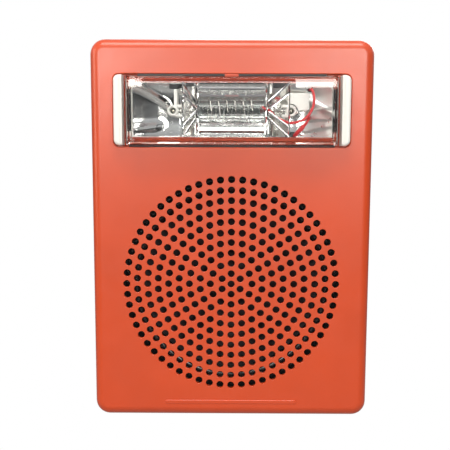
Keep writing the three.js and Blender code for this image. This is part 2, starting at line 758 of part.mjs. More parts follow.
// A post from the board, with a round eyelet that holds the tube's lead.
function tubeTerminal(side) {
  const x = side * terminalX;
  return join(rod('y', terminalRadius, [yTube - 0.2, boardFront - gap], [x, zStrobe], 12),
    rod('y', eyeletRadius, around(yTube, eyeletThickness), [x, zStrobe], 16));
}

class Helix extends THREE.Curve {
  getPoint(t, target = new THREE.Vector3()) {
    const turn = 2 * Math.PI * triggerTurns * t;
    const radius = tubeRadius + triggerRadius + gap;
    return target.set((t - 0.5) * triggerTurns * triggerPitch, yTube + radius * Math.cos(turn),
      zStrobe + radius * Math.sin(turn));
  }
}

const triggerWire = () => alongPath(new Helix(), triggerRadius, triggerTurns * 8, 4);

// The red trigger lead leaves the board, comes through the right wing near its top, hangs in
// a loop round the right terminal and ends at the trigger wire. A second lead comes out of a
// black grommet below that terminal and goes back through the wing.
const leadExit = { x: terminalX + 8.3, z: zStrobe + 9.2 };
const returnExit = { x: terminalX + 7.5, z: zStrobe - 2.6 };
const grommetTop = zStrobe - reflectorHeight / 2 + grommet.height + gap;

function triggerLead() {
  const { x, z } = leadExit;
  const y = yTube - 4;
  const end = tubeLength / 2 - 3.4;
  return wire([[x, boardFront - 1, z], [x, yTube + 3, z], [x, y + 1.4, z - 0.4], [x + 0.8, y, z - 3],
    [x + 0.7, y - 0.6, z - 7], [x - 1.7, y - 1, z - 11.6], [x - 5.3, y - 1, z - 13.8],
    [x - 9.6, y - 0.6, z - 14.2], [x - 14.6, y, z - 12.2], [x - 17.6, y + 0.6, z - 9.4],
    [end, y + 0.8, z - 8.1]], sleeveRadius, 28);
}

function returnLead() {
  const { x, z } = returnExit;
  const y = yFront - grommet.rise - gap;
  return wire([[terminalX + 1.4, y, grommetTop - 1.4], [terminalX + 2.4, y - 1.6, grommetTop],
    [x - 3.2, y - 1.8, z - 4.6], [x - 1, y - 0.6, z - 2], [x, y + 1.6, z], [x, boardFront - 1, z]],
  sleeveRadius, 18);
}

function leadGrommet() {
  return box(around(terminalX, grommet.width), [yFront - grommet.rise, yTube + 8],
    [grommetTop - grommet.height, grommetTop]);
}

// ---------------------------------------------------------------- board and its parts

function mainBoard() {
  const middle = (boardLow + boardHigh) / 2;
  const sheet = slab(roundedOutline(2 * boardHalf, boardHigh - boardLow, 2), boardRear, boardFront,
    [0, middle]);
  const holes = boardScrewPlaces().map((p) => rod('y', screwShankRadius + pilotFit,
    [boardFront - 1, boardRear + 1], p, 10));
  return sheet.subtract(join(holes));
}

const onBoard = boardFront - gap;

// An electrolytic capacitor on its side, with a smaller rubber plug at one end.
function flashCapacitor() {
  const { radius, from, to, nose, rise } = capacitor;
  const place = [onBoard - radius, boardLow + rise];
  return join(rod('x', radius, [from, to], place, 20),
    rod('x', radius * 0.82, [from - nose, from + nose], place, 20));
}

// A bobbin on its side.
function triggerCoil() {
  const { radius, flange, flangeWidth, from, to, rise } = coil;
  const place = [onBoard - flange, zStrobe + rise];
  return join(rod('x', radius, [from, to], place, 14),
    rod('x', flange, [from, from + flangeWidth], place, 14),
    rod('x', flange, [to - flangeWidth, to], place, 14));
}

// A drum core that stands on the board, left of the tray's right legs.
function inductor() {
  const { core, flange, flangeWidth, height, rise, clearance } = drum;
  const place = [legInner - clearance - flange, boardLow + rise];
  return join(rod('y', core, [onBoard - height, onBoard], place, 18),
    rod('y', flange, [onBoard - flangeWidth, onBoard], place, 18),
    rod('y', flange, [onBoard - height, onBoard - height + flangeWidth], place, 18));
}

// A transistor that lies on its metal tab, right of the tray's left legs.
function powerTransistor() {
  const { width, body, depth, tab, reach, hole, rise, clearance } = transistor;
  const x = -legInner + clearance + width / 2;
  const z = zStrobe + rise;
  return join(box(around(x, width), [onBoard - depth, onBoard], around(z, body)),
    box(around(x, width), [onBoard - tab, onBoard], [z, z + reach])).subtract(
    rod('y', hole, [onBoard - depth - 1, onBoard + 1], [x, z + (reach + body / 2) / 2], 10));
}

function controllerChip() {
  const { width, height, depth, pins, pinWidth, pinReach, x, rise } = chip;
  const z = zStrobe + rise;
  const pinDepth = depth / 2;
  const body = box(around(x, width), [onBoard - depth, onBoard - gap], around(z, height));
  const legs = Array.from({ length: pins }, (_, i) => box(
    around(x + (i - (pins - 1) / 2) * (width / pins), pinWidth), [onBoard - pinDepth, onBoard],
    around(z, height + 2 * pinReach)));
  return join(body, legs);
}

// ---------------------------------------------------------------- candela switch

const candelaBodySize = { x: 20, y: 3.6, z: 7, face: 1 };
const candelaKnob = { width: 3.4, height: 3, stem: 1.6, stemDepth: 2.2, sunk: 0.6 };
const candelaStart = candelaX - candelaReach / 2;

function candelaBody() {
  const [front, rear] = [boardRear + gap, boardRear + gap + candelaBodySize.y];
  const body = box(around(candelaX, candelaBodySize.x), [front, rear],
    around(candelaZ, candelaBodySize.z));
  const slot = box(around(candelaX, candelaReach + candelaKnob.width),
    [front + candelaBodySize.face, rear + 1], around(candelaZ, candelaKnob.stem + 2 * gap));
  return body.subtract(slot);
}

function candelaSlider() {
  const rear = boardRear + gap + candelaBodySize.y;
  return join(box(around(candelaStart, candelaKnob.width - 1), [rear - candelaKnob.stemDepth, rear + 1],
    around(candelaZ, candelaKnob.stem)),
  box(around(candelaStart, candelaKnob.width), [rear + gap, -candelaKnob.sunk],
    around(candelaZ, candelaKnob.height)));
}

// ---------------------------------------------------------------- tap selector

const tapFront = yPlate - tapDepth.front;
const tapRear = tapDepth.rear;
const tapBore = 2.2;
const tapStem = 3.4;             // of the knob's stem in the body
const tapDisc = { thickness: 1.9, gripWidth: 2.4, gripHeight: 2.2, inset: 0.5 };

function tapBody() {
  const body = box(around(tapReach, tapSize), [tapFront, tapRear], around(zGrille, tapSize));
  const bore = [tapRear - tapStem - 2 * gap, tapRear + 1];
  return body.subtract(rod('y', tapBore, bore, [tapReach, zGrille], 16));
}

function tapKnob() {
  const { thickness, gripWidth, gripHeight, inset } = tapDisc;
  const face = tapRear + gap + thickness;
  const disc = rod('y', tapKnobRadius, [tapRear + gap, face], [tapReach, zGrille], 20);
  const grip = box(around(tapReach, gripWidth), [face - gap, face + gripHeight],
    around(zGrille, 2 * (tapKnobRadius - inset)));
  const stem = rod('y', tapBore - gap, [tapRear - tapStem, tapRear + 1], [tapReach, zGrille], 14);
  return join(disc, grip, stem);
}

// ---------------------------------------------------------------- terminal block

const cage = { width: 5.8, height: 6, wall: 0.7, window: 2.8, head: 1.2 };
const blockWall = 1.6;           // in front of the clamps
const blockWidth = poles * polePitch + 1.4;
const cageFront = gap + blockWall;
const cageRear = cageFront + cage.wall + cage.window + cage.head;
const cavityRear = cageRear + cageTravel + gap;
const clampScrew = { shank: 1.6, head: 2.4, headHeight: 1.8, tip: 0.2, sunk: 0.6, slot: 0.8 };
const blockRear = gap + blockDepth;

const poleX = (i) => (i - (poles - 1) / 2) * polePitch;

function terminalBlock() {
  const body = box(around(0, blockWidth), [gap, blockRear], around(zBlock, blockHeight));
  const cuts = [];
  for (let i = 0; i < poles; i += 1) {
    const x = poleX(i);
    cuts.push(box(around(x, cage.width + 2 * gap), [cageFront - gap, cavityRear],
      [zBlock - cage.height / 2 - gap, zBlock + blockHeight]));
    cuts.push(rod('y', clampScrew.head + gap, [cavityRear - 1, blockRear + 1], [x, zBlock], 14));
  }
  return body.subtract(join(cuts));
}

function clampCage(i) {
  const x = poleX(i);
  const body = box(around(x, cage.width), [cageFront, cageRear], around(zBlock, cage.height));
  const opening = box(around(x, cage.width - 2 * cage.wall),
    [cageFront + cage.wall, cageRear - cage.head], around(zBlock, cage.height + 2));
  const thread = rod('y', clampScrew.shank + gap, [cageFront + cage.wall, cageRear + 1], [x, zBlock], 12);
  return body.subtract(join(opening, thread));
}

function clampScrewPiece(i) {
  const place = [poleX(i), zBlock];
  const rear = blockRear - clampScrew.sunk;
  const chamfer = clampScrew.slot / 2;
  const under = rear - clampScrew.headHeight;
  const tip = cageRear - cage.head - clampScrew.tip;
  const body = turned([[0, tip], [clampScrew.shank, tip], [clampScrew.shank, under],
    [clampScrew.head, under], [clampScrew.head, rear - chamfer], [clampScrew.head - chamfer, rear],
    [0, rear]],
  place, 12);
  return body.subtract(box(around(place[0], 2 * clampScrew.head + 1), [rear - 1, rear + 1],
    around(zBlock, clampScrew.slot)));
}

// ---------------------------------------------------------------- transformer and leads

const coreRear = yPlate - gap - windingBulge;
const coreFront = coreRear - coreSize.stack;
const zCore = -rimHalf.z + rimThickness + coreClearance + coreSize.height / 2;

function transformerCore() {
  const { width, height, leg } = coreSize;
  const frame = box(around(0, width), [coreFront, coreRear], around(zCore, height));
  const windowWidth = (width - 3 * leg) / 2 + 0.001;
  const windows = [-1, 1].map((side) => box(
    around(side * (leg / 2 + windowWidth / 2), windowWidth), [coreFront - 1, coreRear + 1],
    around(zCore, height - 2 * leg)));
  const feet = [-1, 1].map((side) => box(around(side * (width / 2 - leg / 2), leg - 1),
    [coreRear - 0.5, yPlate - gap], around(zCore, height - 2)));
  return join(frame, feet).subtract(join(windows));
}

function transformerWinding() {
  const { width, height, leg } = coreSize;
  const windowWidth = (width - 3 * leg) / 2;
  const outer = leg / 2 + windowWidth - gap;
  const body = box([-outer, outer], [coreFront - windingBulge, coreRear + windingBulge - gap],
    around(zCore, height - 2 * leg - 2 * gap));
  const bore = box(around(0, leg + 2 * gap), [coreFront - gap, coreRear + gap],
    around(zCore, height));
  return body.subtract(bore);
}

// Two leads in each pair, side by side.
const leadWireRadius = 0.7;
const leadPairSpacing = 2.4;

// From the strip on the basket down behind it to the transformer's left side.
function speakerLead(side) {
  const off = (side * leadPairSpacing) / 2;
  const end = -coreSize.width / 2 - gap - leadWireRadius - 1;
  return wire([[lugX, stripRear + lug.length + gap, zGrille + side * lug.spacing / 2],
    [lugX, stripRear + 4.4 + off, zGrille + side * lug.spacing / 2 - 1],
    [lugX - 2 + off, yPlate - 4 + off, zGrille - 14], [-29 + off, yPlate - 3.4 + off, zCore + 14],
    [end - 1, yPlate - 4.6 + off, zCore + 5 + off], [end + 1.6, coreRear - 3 + off, zCore + 3 + off]],
  leadWireRadius, 18);
}

// From the terminal block through the plate to the board.
function boardLead(side) {
  const off = (side * leadPairSpacing) / 2;
  const { x, z } = leadHole;
  const blockEnd = blockWidth / 2 + gap;
  return wire([[blockEnd, gap + 4, zBlock + off], [blockEnd + 3.2, gap + 3.6, zBlock + off],
    [x - 0.6 + 0.6 * off, 0.4, z + 0.8 * off], [x + 0.6 + 0.9 * off, yPlate - 2, z + 1.4],
    [x + 1.6 + off, yPlate - 3.6, boardLow - 4], [x + 2 + off, yPlate - 3.4, boardLow + 4],
    [x + 2 + off, boardRear + 2, boardLow + 7.6], [x + 2 + off, boardRear + 2 * gap, boardLow + 8]],
  leadWireRadius, 18);
}

// ---------------------------------------------------------------- assembly

add('front_cover', frontCover(), 'redPlastic');
add('mounting_plate', mountingPlate(), 'greyPlastic');

add('speaker_basket', speakerBasket(), 'steel');
add('speaker_gasket', speakerGasket(), 'foam');
add('surround', surround(), 'rubber');
add('cone', cone(), 'paper');
add('dust_cap', dustCap(), 'paper');
add('voice_coil', voiceCoil(), 'copper');
add('spider', spider(), 'amber');
add('top_plate', topPlate(), 'steel');
add('magnet', magnet(), 'ferrite');
add('yoke', yoke(), 'steel');
add('speaker_terminal_strip', terminalStrip(), 'amber');
screws('speaker_screw', earPlaces(), yFlange - gap, flangeThickness + 2 * gap + screwGrip - 1);

add('strobe_tray', strobeTray(), 'redPlastic');
add('strobe_lens', strobeLens(), 'clear');
add('reflector', reflector(), 'mirror');
add('flash_tube', flashTube(), 'glass');
for (const [name, side] of [['left', -1], ['right', 1]]) {
  add(`lens_clip_${name}`, lensClip(side), 'cream');
  add(`tube_electrode_${name}`, tubeCap(side), 'steel');
  add(`tube_terminal_${name}`, tubeTerminal(side), 'brass');
}
add('trigger_wire', triggerWire(), 'steel');
add('trigger_lead', triggerLead(), 'redSleeve');
add('return_lead', returnLead(), 'redSleeve');
add('lead_grommet', leadGrommet(), 'black');

add('main_board', mainBoard(), 'board');
screws('board_screw', boardScrewPlaces(), boardFront - gap, boardThickness + 2 * gap + screwGrip - 3);
add('flash_capacitor', flashCapacitor(), 'blue');
add('trigger_coil', triggerCoil(), 'amber');
add('inductor', inductor(), 'copper');
add('power_transistor', powerTransistor(), 'black');
add('controller_chip', controllerChip(), 'black');

add('candela_switch_body', candelaBody(), 'black');
add('candela_switch_slider', candelaSlider(), 'cream');
add('tap_selector_body', tapBody(), 'black');
add('tap_selector_knob', tapKnob(), 'cream');

add('terminal_block', terminalBlock(), 'black');
for (let i = 0; i < poles; i += 1) {
  add(`terminal_screw_${i + 1}`, clampScrewPiece(i), 'steel');
  add(`terminal_clamp_${i + 1}`, clampCage(i), 'brass');
}

add('transformer_core', transformerCore(), 'blackSteel');
add('transformer_winding', transformerWinding(), 'amber');
for (const [name, side, look] of [['red', -1, 'redSleeve'], ['black', 1, 'blackSleeve']]) {
  add(`speaker_lead_${name}`, speakerLead(side), look);
  add(`board_lead_${name}`, boardLead(side), look);
}

export default group;
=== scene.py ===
"""Looks of the wall speaker strobe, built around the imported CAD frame."""

import functools
import json
import math

import bpy
import bmesh
from mathutils import Matrix, Vector


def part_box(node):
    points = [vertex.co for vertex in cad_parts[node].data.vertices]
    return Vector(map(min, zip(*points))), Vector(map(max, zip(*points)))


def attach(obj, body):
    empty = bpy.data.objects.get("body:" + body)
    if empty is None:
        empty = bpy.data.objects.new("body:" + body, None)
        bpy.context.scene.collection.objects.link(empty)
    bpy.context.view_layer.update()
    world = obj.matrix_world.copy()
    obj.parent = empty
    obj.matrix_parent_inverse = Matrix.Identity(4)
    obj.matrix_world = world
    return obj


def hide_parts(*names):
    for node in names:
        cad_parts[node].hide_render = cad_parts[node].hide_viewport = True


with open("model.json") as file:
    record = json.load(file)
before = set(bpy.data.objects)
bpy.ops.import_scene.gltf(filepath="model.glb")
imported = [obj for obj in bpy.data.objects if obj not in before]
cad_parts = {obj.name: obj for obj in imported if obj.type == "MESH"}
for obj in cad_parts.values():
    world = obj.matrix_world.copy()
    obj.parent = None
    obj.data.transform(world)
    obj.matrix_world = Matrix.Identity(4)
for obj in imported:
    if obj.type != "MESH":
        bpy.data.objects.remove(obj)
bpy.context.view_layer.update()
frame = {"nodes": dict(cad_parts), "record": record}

MM = 0.001

# ------------------------------------------------------------ sizes, in millimetres
COVER_WALL = 2.4
COVER_CORNER = 6.4
COVER_EDGE = 4.5
HOLE_PITCH = 4.56
HOLE_RADIUS = 1.55
HOLE_RIM = 0.14
HOLE_RINGS = 10
HOLE_SIDES = 22
WINDOW_FIT = 0.7
WINDOW_CORNER = 2.6
WINDOW_RIM = 0.45
LABEL_BAR = (58.0, 1.5, 0.22)
LABEL_RISE = 6.8
CLIP_CORNER = 2.4
CLIP_EDGE = 1.3
LENS_WALL = 1.6
LENS_DRAFT = (2.2, 1.7)
LENS_CORNER = 1.0
LENS_EDGE = 0.9
LENS_FOOT = 0.5
LENS_LEAN = 0.80488
OPTIC_HEIGHT = 0.8
OPTIC_RIBS = 2
BARREL = (4.3, 1.6)
TROUGH_DEPTH = 6.2
TUBE_BORE = 1.4
TRIGGER_TURNS = 6
PIN_RADIUS = 0.72
LEAD_EXIT = (33.4, 9.2)
RETURN_EXIT = (32.6, -2.6)
GRILLE_WALL = 1.3
GRILLE_RECESS = 47.3
THREAD_PITCH = 0.6
ENDS = (("left", -1), ("right", 1))


@functools.lru_cache(maxsize=None)
def box_mm(node):
    """A CAD node's box at rest, in millimetres."""
    low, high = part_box(node)
    return low / MM, high / MM


def centred(node):
    """A CAD node's box, and its middle in X and Z."""
    low, high = box_mm(node)
    return low, high, ((low.x + high.x) / 2, (low.z + high.z) / 2)


cover_low, cover_high = box_mm("front_cover")
lens_low, lens_high = box_mm("strobe_lens")
magnet_low, magnet_high = box_mm("magnet")
tube_low, tube_high = box_mm("flash_tube")
terminal_low, terminal_high = box_mm("tube_terminal_right")

Y_FRONT = cover_low.y
Y_INSIDE = Y_FRONT + COVER_WALL
Z_GRILLE = (magnet_low.z + magnet_high.z) / 2
Z_STROBE = (lens_low.z + lens_high.z) / 2
Y_TUBE = (tube_low.y + tube_high.y) / 2
TERMINAL_X = (terminal_low.x + terminal_high.x) / 2
LENS_WIDTH = lens_high.x - lens_low.x
LENS_HEIGHT = lens_high.z - lens_low.z
EAR_PLACES = [centred(f"speaker_screw_{ear}")[2] for ear in range(1, 5)]


# ------------------------------------------------------------ mesh tools

def mesh_piece(name, vertices, faces):
    """A new object from points in millimetres."""
    mesh = bpy.data.meshes.new(name)
    mesh.from_pydata([(x * MM, y * MM, z * MM) for x, y, z in vertices], [], faces)
    mesh.update()
    piece = bpy.data.objects.new(name, mesh)
    bpy.context.scene.collection.objects.link(piece)
    return piece


def face_outwards(piece):
    work = bmesh.new()
    work.from_mesh(piece.data)
    bmesh.ops.remove_doubles(work, verts=work.verts, dist=1e-7)
    bmesh.ops.recalc_face_normals(work, faces=work.faces)
    work.to_mesh(piece.data)
    work.free()
    return piece


def outline(width, height, radius, centre=(0.0, 0.0), segments=8):
    """Points of a rounded rectangle in X and Z, anticlockwise from its lower right corner."""
    x0, z0 = centre
    radius = max(radius, 0.02)
    points = []
    corners = ((1, -1, -90), (1, 1, 0), (-1, 1, 90), (-1, -1, 180))
    for side_x, side_z, start in corners:
        cx = x0 + side_x * (width / 2 - radius)
        cz = z0 + side_z * (height / 2 - radius)
        for i in range(segments + 1):
            turn = math.radians(start + 90 * i / segments)
            points.append((cx + radius * math.cos(turn), cz + radius * math.sin(turn)))
    return points


def band(first, second, count):
    """Four sided faces between two rings of points, given by the numbers of their first points."""
    return [(first + j, second + j, second + (j + 1) % count, first + (j + 1) % count)
            for j in range(count)]


def loft(name, rings):
    """A closed solid through rings, each (y, points in X and Z), with flat ends."""
    count = len(rings[0][1])
    vertices = [(x, y, z) for y, ring in rings for x, z in ring]
    faces = [list(range(count)), list(range(len(vertices) - 1, len(vertices) - count - 1, -1))]
    for i in range(len(rings) - 1):
        faces += band(i * count, (i + 1) * count, count)
    return face_outwards(mesh_piece(name, vertices, faces))


def turned(name, profile, centre, sides=64, closed=True):
    """A profile of (radius, y) points turned about a line along Y through (x, z)."""
    x0, z0 = centre
    vertices = []
    rings = []
    for radius, y in profile:
        if radius < 1e-6:
            rings.append([len(vertices)] * sides)
            vertices.append((x0, y, z0))
            continue
        rings.append(list(range(len(vertices), len(vertices) + sides)))
        for j in range(sides):
            turn = 2 * math.pi * j / sides
            vertices.append((x0 + radius * math.sin(turn), y, z0 + radius * math.cos(turn)))
    faces = []
    spans = len(rings) if closed else len(rings) - 1
    for i in range(spans):
        near, far = rings[i], rings[(i + 1) % len(rings)]
        for j in range(sides):
            k = (j + 1) % sides
            face = []
            for corner in (near[j], far[j], far[k], near[k]):
                if corner not in face:
                    face.append(corner)
            if len(face) > 2:
                faces.append(face)
    return face_outwards(mesh_piece(name, vertices, faces))


def rod(name, radius, y, centre, sides):
    """A plain cylinder between two ordinates in Y."""
    start, end = y
    return turned(name, [(0, start), (radius, start), (radius, end), (0, end)], centre, sides, False)


def dome(radius, rim, rise, steps):
    """(radius, y) points of a quarter round, from its rim to its top."""
    turns = [math.pi / 2 * k / steps for k in range(steps + 1)]
    return [(radius * math.cos(turn), rim - rise * math.sin(turn)) for turn in turns]


def between(low, high, near, far):
    """A profile by (radius, distance) points from its near end, then from its far end."""
    return [(r, low + d) for r, d in near] + [(r, high - d) for r, d in far]


def reel(low, high, points):
    """A profile that is the same from both ends."""
    return between(low, high, points, points[::-1])


def sheet(line, thickness):
    """A closed profile between a line of (radius, y) points and its copy behind."""
    return line + [(r, y + thickness) for r, y in line[::-1]]


def thread(start, end, root, crest):
    """Profile points of a screw thread."""
    points = []
    y = start
    while y < end:
        points += [(root, y), (crest, y + 0.25), (root, y + 0.5)]
        y += THREAD_PITCH
    return points


def about(middle, half):
    """Two ordinates, half a width to each side of a middle."""
    return middle - half, middle + half


def along_x(piece, centre):
    """Turns a piece made about the Y axis so that it lies along X, centred at (y, z)."""
    y, z = centre
    move = Matrix.Translation((0, y * MM, z * MM)) @ Matrix.Rotation(-math.pi / 2, 4, "Z")
    piece.data.transform(move)
    return piece


def smooth_route(points, steps):
    """Points on a Catmull-Rom curve through the given ones."""
    vectors = [Vector(p) for p in points]
    ends = [2 * vectors[0] - vectors[1]] + vectors + [2 * vectors[-1] - vectors[-2]]
    route = []
    spans = len(vectors) - 1
    for s in range(steps + 1):
        place = min(s / steps * spans, spans - 1e-6)
        i = int(place)
        t = place - i
        a, b, c, d = ends[i:i + 4]
        route.append(0.5 * ((2 * b) + (c - a) * t + (2 * a - 5 * b + 4 * c - d) * t ** 2
                            + (3 * b - a - 3 * c + d) * t ** 3))
    return route


def sweep(name, route, radius, sides=12):
    """A round wire along a route of points in millimetres. radius may be a function of 0..1."""
    size = radius if callable(radius) else (lambda t: radius)
    tangents = []
    for i in range(len(route)):
        ahead = route[min(i + 1, len(route) - 1)]
        behind = route[max(i - 1, 0)]
        tangents.append((ahead - behind).normalized())
    normal = tangents[0].orthogonal().normalized()
    vertices, faces = [], []
    for i, place in enumerate(route):
        normal = (normal - tangents[i] * normal.dot(tangents[i])).normalized()
        side = tangents[i].cross(normal)
        r = size(i / (len(route) - 1))
        for j in range(sides):
            turn = 2 * math.pi * j / sides
            vertices.append(place + r * (math.cos(turn) * normal + math.sin(turn) * side))
    for i in range(len(route) - 1):
        faces += band(i * sides, (i + 1) * sides, sides)
    faces.append(list(range(sides))[::-1])
    faces.append(list(range(len(vertices) - sides, len(vertices))))
    return face_outwards(mesh_piece(name, [tuple(v) for v in vertices], faces))


def block(name, x, y, z, bevel=0.3, segments=3):
    """A box between pairs of ordinates, with rounded edges."""
    piece = mesh_piece(name, [], [])
    work = bmesh.new()
    bmesh.ops.create_cube(work, size=1.0)
    for v in work.verts:
        v.co = Vector([(a + b) / 2 + (b - a) * c for (a, b), c in zip((x, y, z), v.co)]) * MM
    if bevel:
        bmesh.ops.bevel(work, geom=list(work.edges), offset=bevel * MM, segments=segments,
                        profile=0.5, affect="EDGES")
    work.to_mesh(piece.data)
    work.free()
    return face_outwards(piece)


def apply_modifiers(piece):
    depsgraph = bpy.context.evaluated_depsgraph_get()
    mesh = bpy.data.meshes.new_from_object(piece.evaluated_get(depsgraph), depsgraph=depsgraph)
    old = piece.data
    piece.modifiers.clear()
    piece.data = mesh
    bpy.data.meshes.remove(old)
    return piece


def remove(pieces):
    for piece in pieces:
        mesh = piece.data
        bpy.data.objects.remove(piece)
        bpy.data.meshes.remove(mesh)


def combine(piece, tools, operation):
    """Joins or cuts closed solids, and removes the tools."""
    for tool in tools:
        modifier = piece.modifiers.new("join", "BOOLEAN")
        modifier.operation = operation
        modifier.solver = "MANIFOLD"
        modifier.object = tool
    apply_modifiers(piece)
    remove(tools)
    return piece


def merged(name, pieces):
    """One object out of several solids that don't touch."""
    work = bmesh.new()
    for piece in pieces:
        work.from_mesh(piece.data)
    whole = mesh_piece(name, [], [])
    work.to_mesh(whole.data)
    work.free()
    remove(pieces)
    return whole


def soften(piece, angle=32, weighted=True):
    """Smooth shading up to an angle, with flat faces kept flat."""
    mesh = piece.data
    work = bmesh.new()
    work.from_mesh(mesh)
    limit = math.radians(angle)
    for face in work.faces:
        face.smooth = True
    for edge in work.edges:
        edge.smooth = len(edge.link_faces) == 2 and edge.calc_face_angle(0.0) < limit
    work.to_mesh(mesh)
    work.free()
    if weighted:
        modifier = piece.modifiers.new("flat", "WEIGHTED_NORMAL")
        modifier.keep_sharp = True
        modifier.weight = 80
        apply_modifiers(piece)
    return piece


def refined(node, bevel=0.25, segments=2, angle=40):
    """A copy of a CAD node with its sharp edges rounded, which replaces the node."""
    piece = mesh_piece(node + "_fine", [], [])
    work = bmesh.new()
    work.from_mesh(frame["nodes"][node].data)
    bmesh.ops.remove_doubles(work, verts=work.verts, dist=2e-6)
    work.to_mesh(piece.data)
    work.free()
    modifier = piece.modifiers.new("edge", "BEVEL")
    modifier.width = bevel * MM
    modifier.segments = segments
    modifier.limit_method = "ANGLE"
    modifier.angle_limit = math.radians(angle)
    modifier.use_clamp_overlap = True
    modifier.harden_normals = False
    apply_modifiers(piece)
    return piece


BODY_OF = {node: body for body, nodes in frame["record"]["behaviour"]["bodies"].items()
           for node in nodes}


def extra(piece, material, angle=35, weighted=True, body="chassis"):
    """A visible piece, shaded smooth up to an angle, that moves with a body."""
    soften(piece, angle, weighted)
    piece.data.materials.clear()
    piece.data.materials.append(material)
    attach(piece, body)
    return piece


def stand_for(piece, node, material, angle=35, weighted=True):
    """A visible piece that replaces a CAD node and moves with the node's body."""
    extra(piece, material, angle, weighted, BODY_OF[node])
    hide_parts(node)


# ------------------------------------------------------------ materials

def add_node(tree, kind, inputs, output=0, **settings):
    """One output of a new node, whose inputs are set to values or linked to other outputs."""
    node = tree.nodes.new("ShaderNode" + kind)
    for key, value in settings.items():
        setattr(node, key, value)
    for key, value in inputs.items():
        socket = node.inputs[key]
        if isinstance(value, bpy.types.NodeSocket):
            tree.links.new(value, socket)
        else:
            socket.default_value = (*value, 1.0) if socket.type == "RGBA" else value
    return node.outputs[output]


def add_ramp(tree, source, stops):
    """Colours along a source from 0 to 1, as (place, colour) stops in order."""
    node = tree.nodes.new("ShaderNodeValToRGB")
    elements = node.color_ramp.elements
    elements[0].position, elements[1].position = stops[0][0], stops[-1][0]
    for place, _ in stops[1:-1]:
        elements.new(place)
    for element, (_, colour) in zip(elements, stops):
        element.color = (*colour, 1.0)
    tree.links.new(source, node.inputs["Fac"])
    return node.outputs["Color"]


def by_ray(tree, ray, others, this, end):
    """One shader for this kind of ray and another for all others, at the tree's end."""
    blend = add_node(tree, "MixShader", {"Fac": add_node(tree, "LightPath", {}, ray), 1: others, 2: this})
    tree.links.new(blend, tree.nodes[end].inputs["Surface"])


class Nodes:
    """A short way to build a node tree around one Principled shader."""

    def __init__(self, name, **constants):
        self.material = bpy.data.materials.new(name)
        self.material.use_nodes = True
        self.tree = self.material.node_tree
        self.shader = self.tree.nodes["Principled BSDF"]
        for key, value in constants.items():
            self.shader.inputs[key.replace("_", " ")].default_value = value
        self.place = self.add("TexCoord", {}, "Object")

    def add(self, kind, inputs, output=0, **settings):
        return add_node(self.tree, kind, inputs, output, **settings)

    def noise(self, scale, detail=3.0, roughness=0.5, stretch=None):
        place = self.add("Mapping", {"Vector": self.place, "Scale": stretch}) if stretch else self.place
        return self.add("TexNoise", {"Scale": scale, "Detail": detail, "Roughness": roughness,
                                     "Vector": place}, "Fac")

    def wave(self, scale, axis, distortion=0.0):
        return self.add("TexWave", {"Scale": scale, "Distortion": distortion, "Vector": self.place},
                        "Fac", bands_direction=axis)

    def ramp(self, source, stops):
        return add_ramp(self.tree, source, stops)

    def span(self, source, low, high, start=0.3, end=0.7):
        return self.add("MapRange", {"Value": source, "From Min": start, "From Max": end,
                                     "To Min": low, "To Max": high}, "Result")

    def mix(self, factor, first, second):
        return self.add("Mix", {0: factor, 6: first, 7: second}, 2, data_type="RGBA")

    def maths(self, operation, first, second):
        return self.add("Math", {0: first, 1: second}, operation=operation)

    def edges(self, radius):
        """1 on edges that stand out, 0 on flats, from how far a rounded normal leans away."""
        rounded = self.add("Bevel", {"Radius": radius * MM}, "Normal", samples=4)
        flat = self.add("NewGeometry", {}, "Normal")
        lean = self.add("VectorMath", {0: rounded, 1: flat}, "Value", operation="DOT_PRODUCT")
        return self.span(lean, 1.0, 0.0, 0.9, 0.995)

    def bump(self, height, strength, distance, below=None):
        inputs = {"Strength": strength, "Distance": distance * MM, "Height": height}
        if below is not None:
            inputs["Normal"] = below
        return self.add("Bump", inputs, "Normal")

    def finish(self, colour=None, roughness=None, normal=None):
        for source, key in ((colour, "Base Color"), (roughness, "Roughness"), (normal, "Normal")):
            if source is not None:
                self.tree.links.new(source, self.shader.inputs[key])
        return self.material


def toned(colour, factor, lift=0.0):
    return tuple(min(1.0, c * factor + lift) for c in colour)


def moulded(name, colour, rough, grain=0.25, tone=0.08, grain_scale=2600.0, **constants):
    """Moulded plastic: fine spark-eroded texture, slow colour drift, paler worn edges."""
    n = Nodes(name, **constants)
    base = n.ramp(n.noise(34.0, 2.0), [(0.3, toned(colour, 1 - tone)), (0.7, toned(colour, 1 + tone))])
    specks = n.span(n.noise(900.0, 2.0), 0.0, 0.10, 0.55, 0.75)
    base = n.mix(specks, base, toned(colour, 0.8))
    worn = n.maths("MULTIPLY", n.edges(0.35), n.span(n.noise(160.0), 0.0, 0.5))
    base = n.mix(worn, base, toned(colour, 1.12, 0.025))
    roughness = n.span(n.noise(210.0, 4.0), rough - 0.05, rough + 0.05)
    fine = n.bump(n.noise(grain_scale, 3.0, 0.6), grain, 0.03)
    slow = n.bump(n.noise(70.0, 2.0), 0.06, 0.15, fine)
    return n.finish(base, roughness, slow)


def plain_metal(name, colour, rough, tone=0.06):
    """Plated or turned metal: soft cloudiness, fine scratches, duller patches."""
    n = Nodes(name, Metallic=1.0)
    base = n.ramp(n.noise(120.0, 4.0), [(0.3, toned(colour, 1 - tone)), (0.7, toned(colour, 1 + tone))])
    roughness = n.span(n.noise(300.0, 5.0), rough - 0.07, rough + 0.1)
    scratch = n.noise(900.0, 3.0, 0.6)
    return n.finish(base, roughness, n.bump(scratch, 0.15, 0.02))


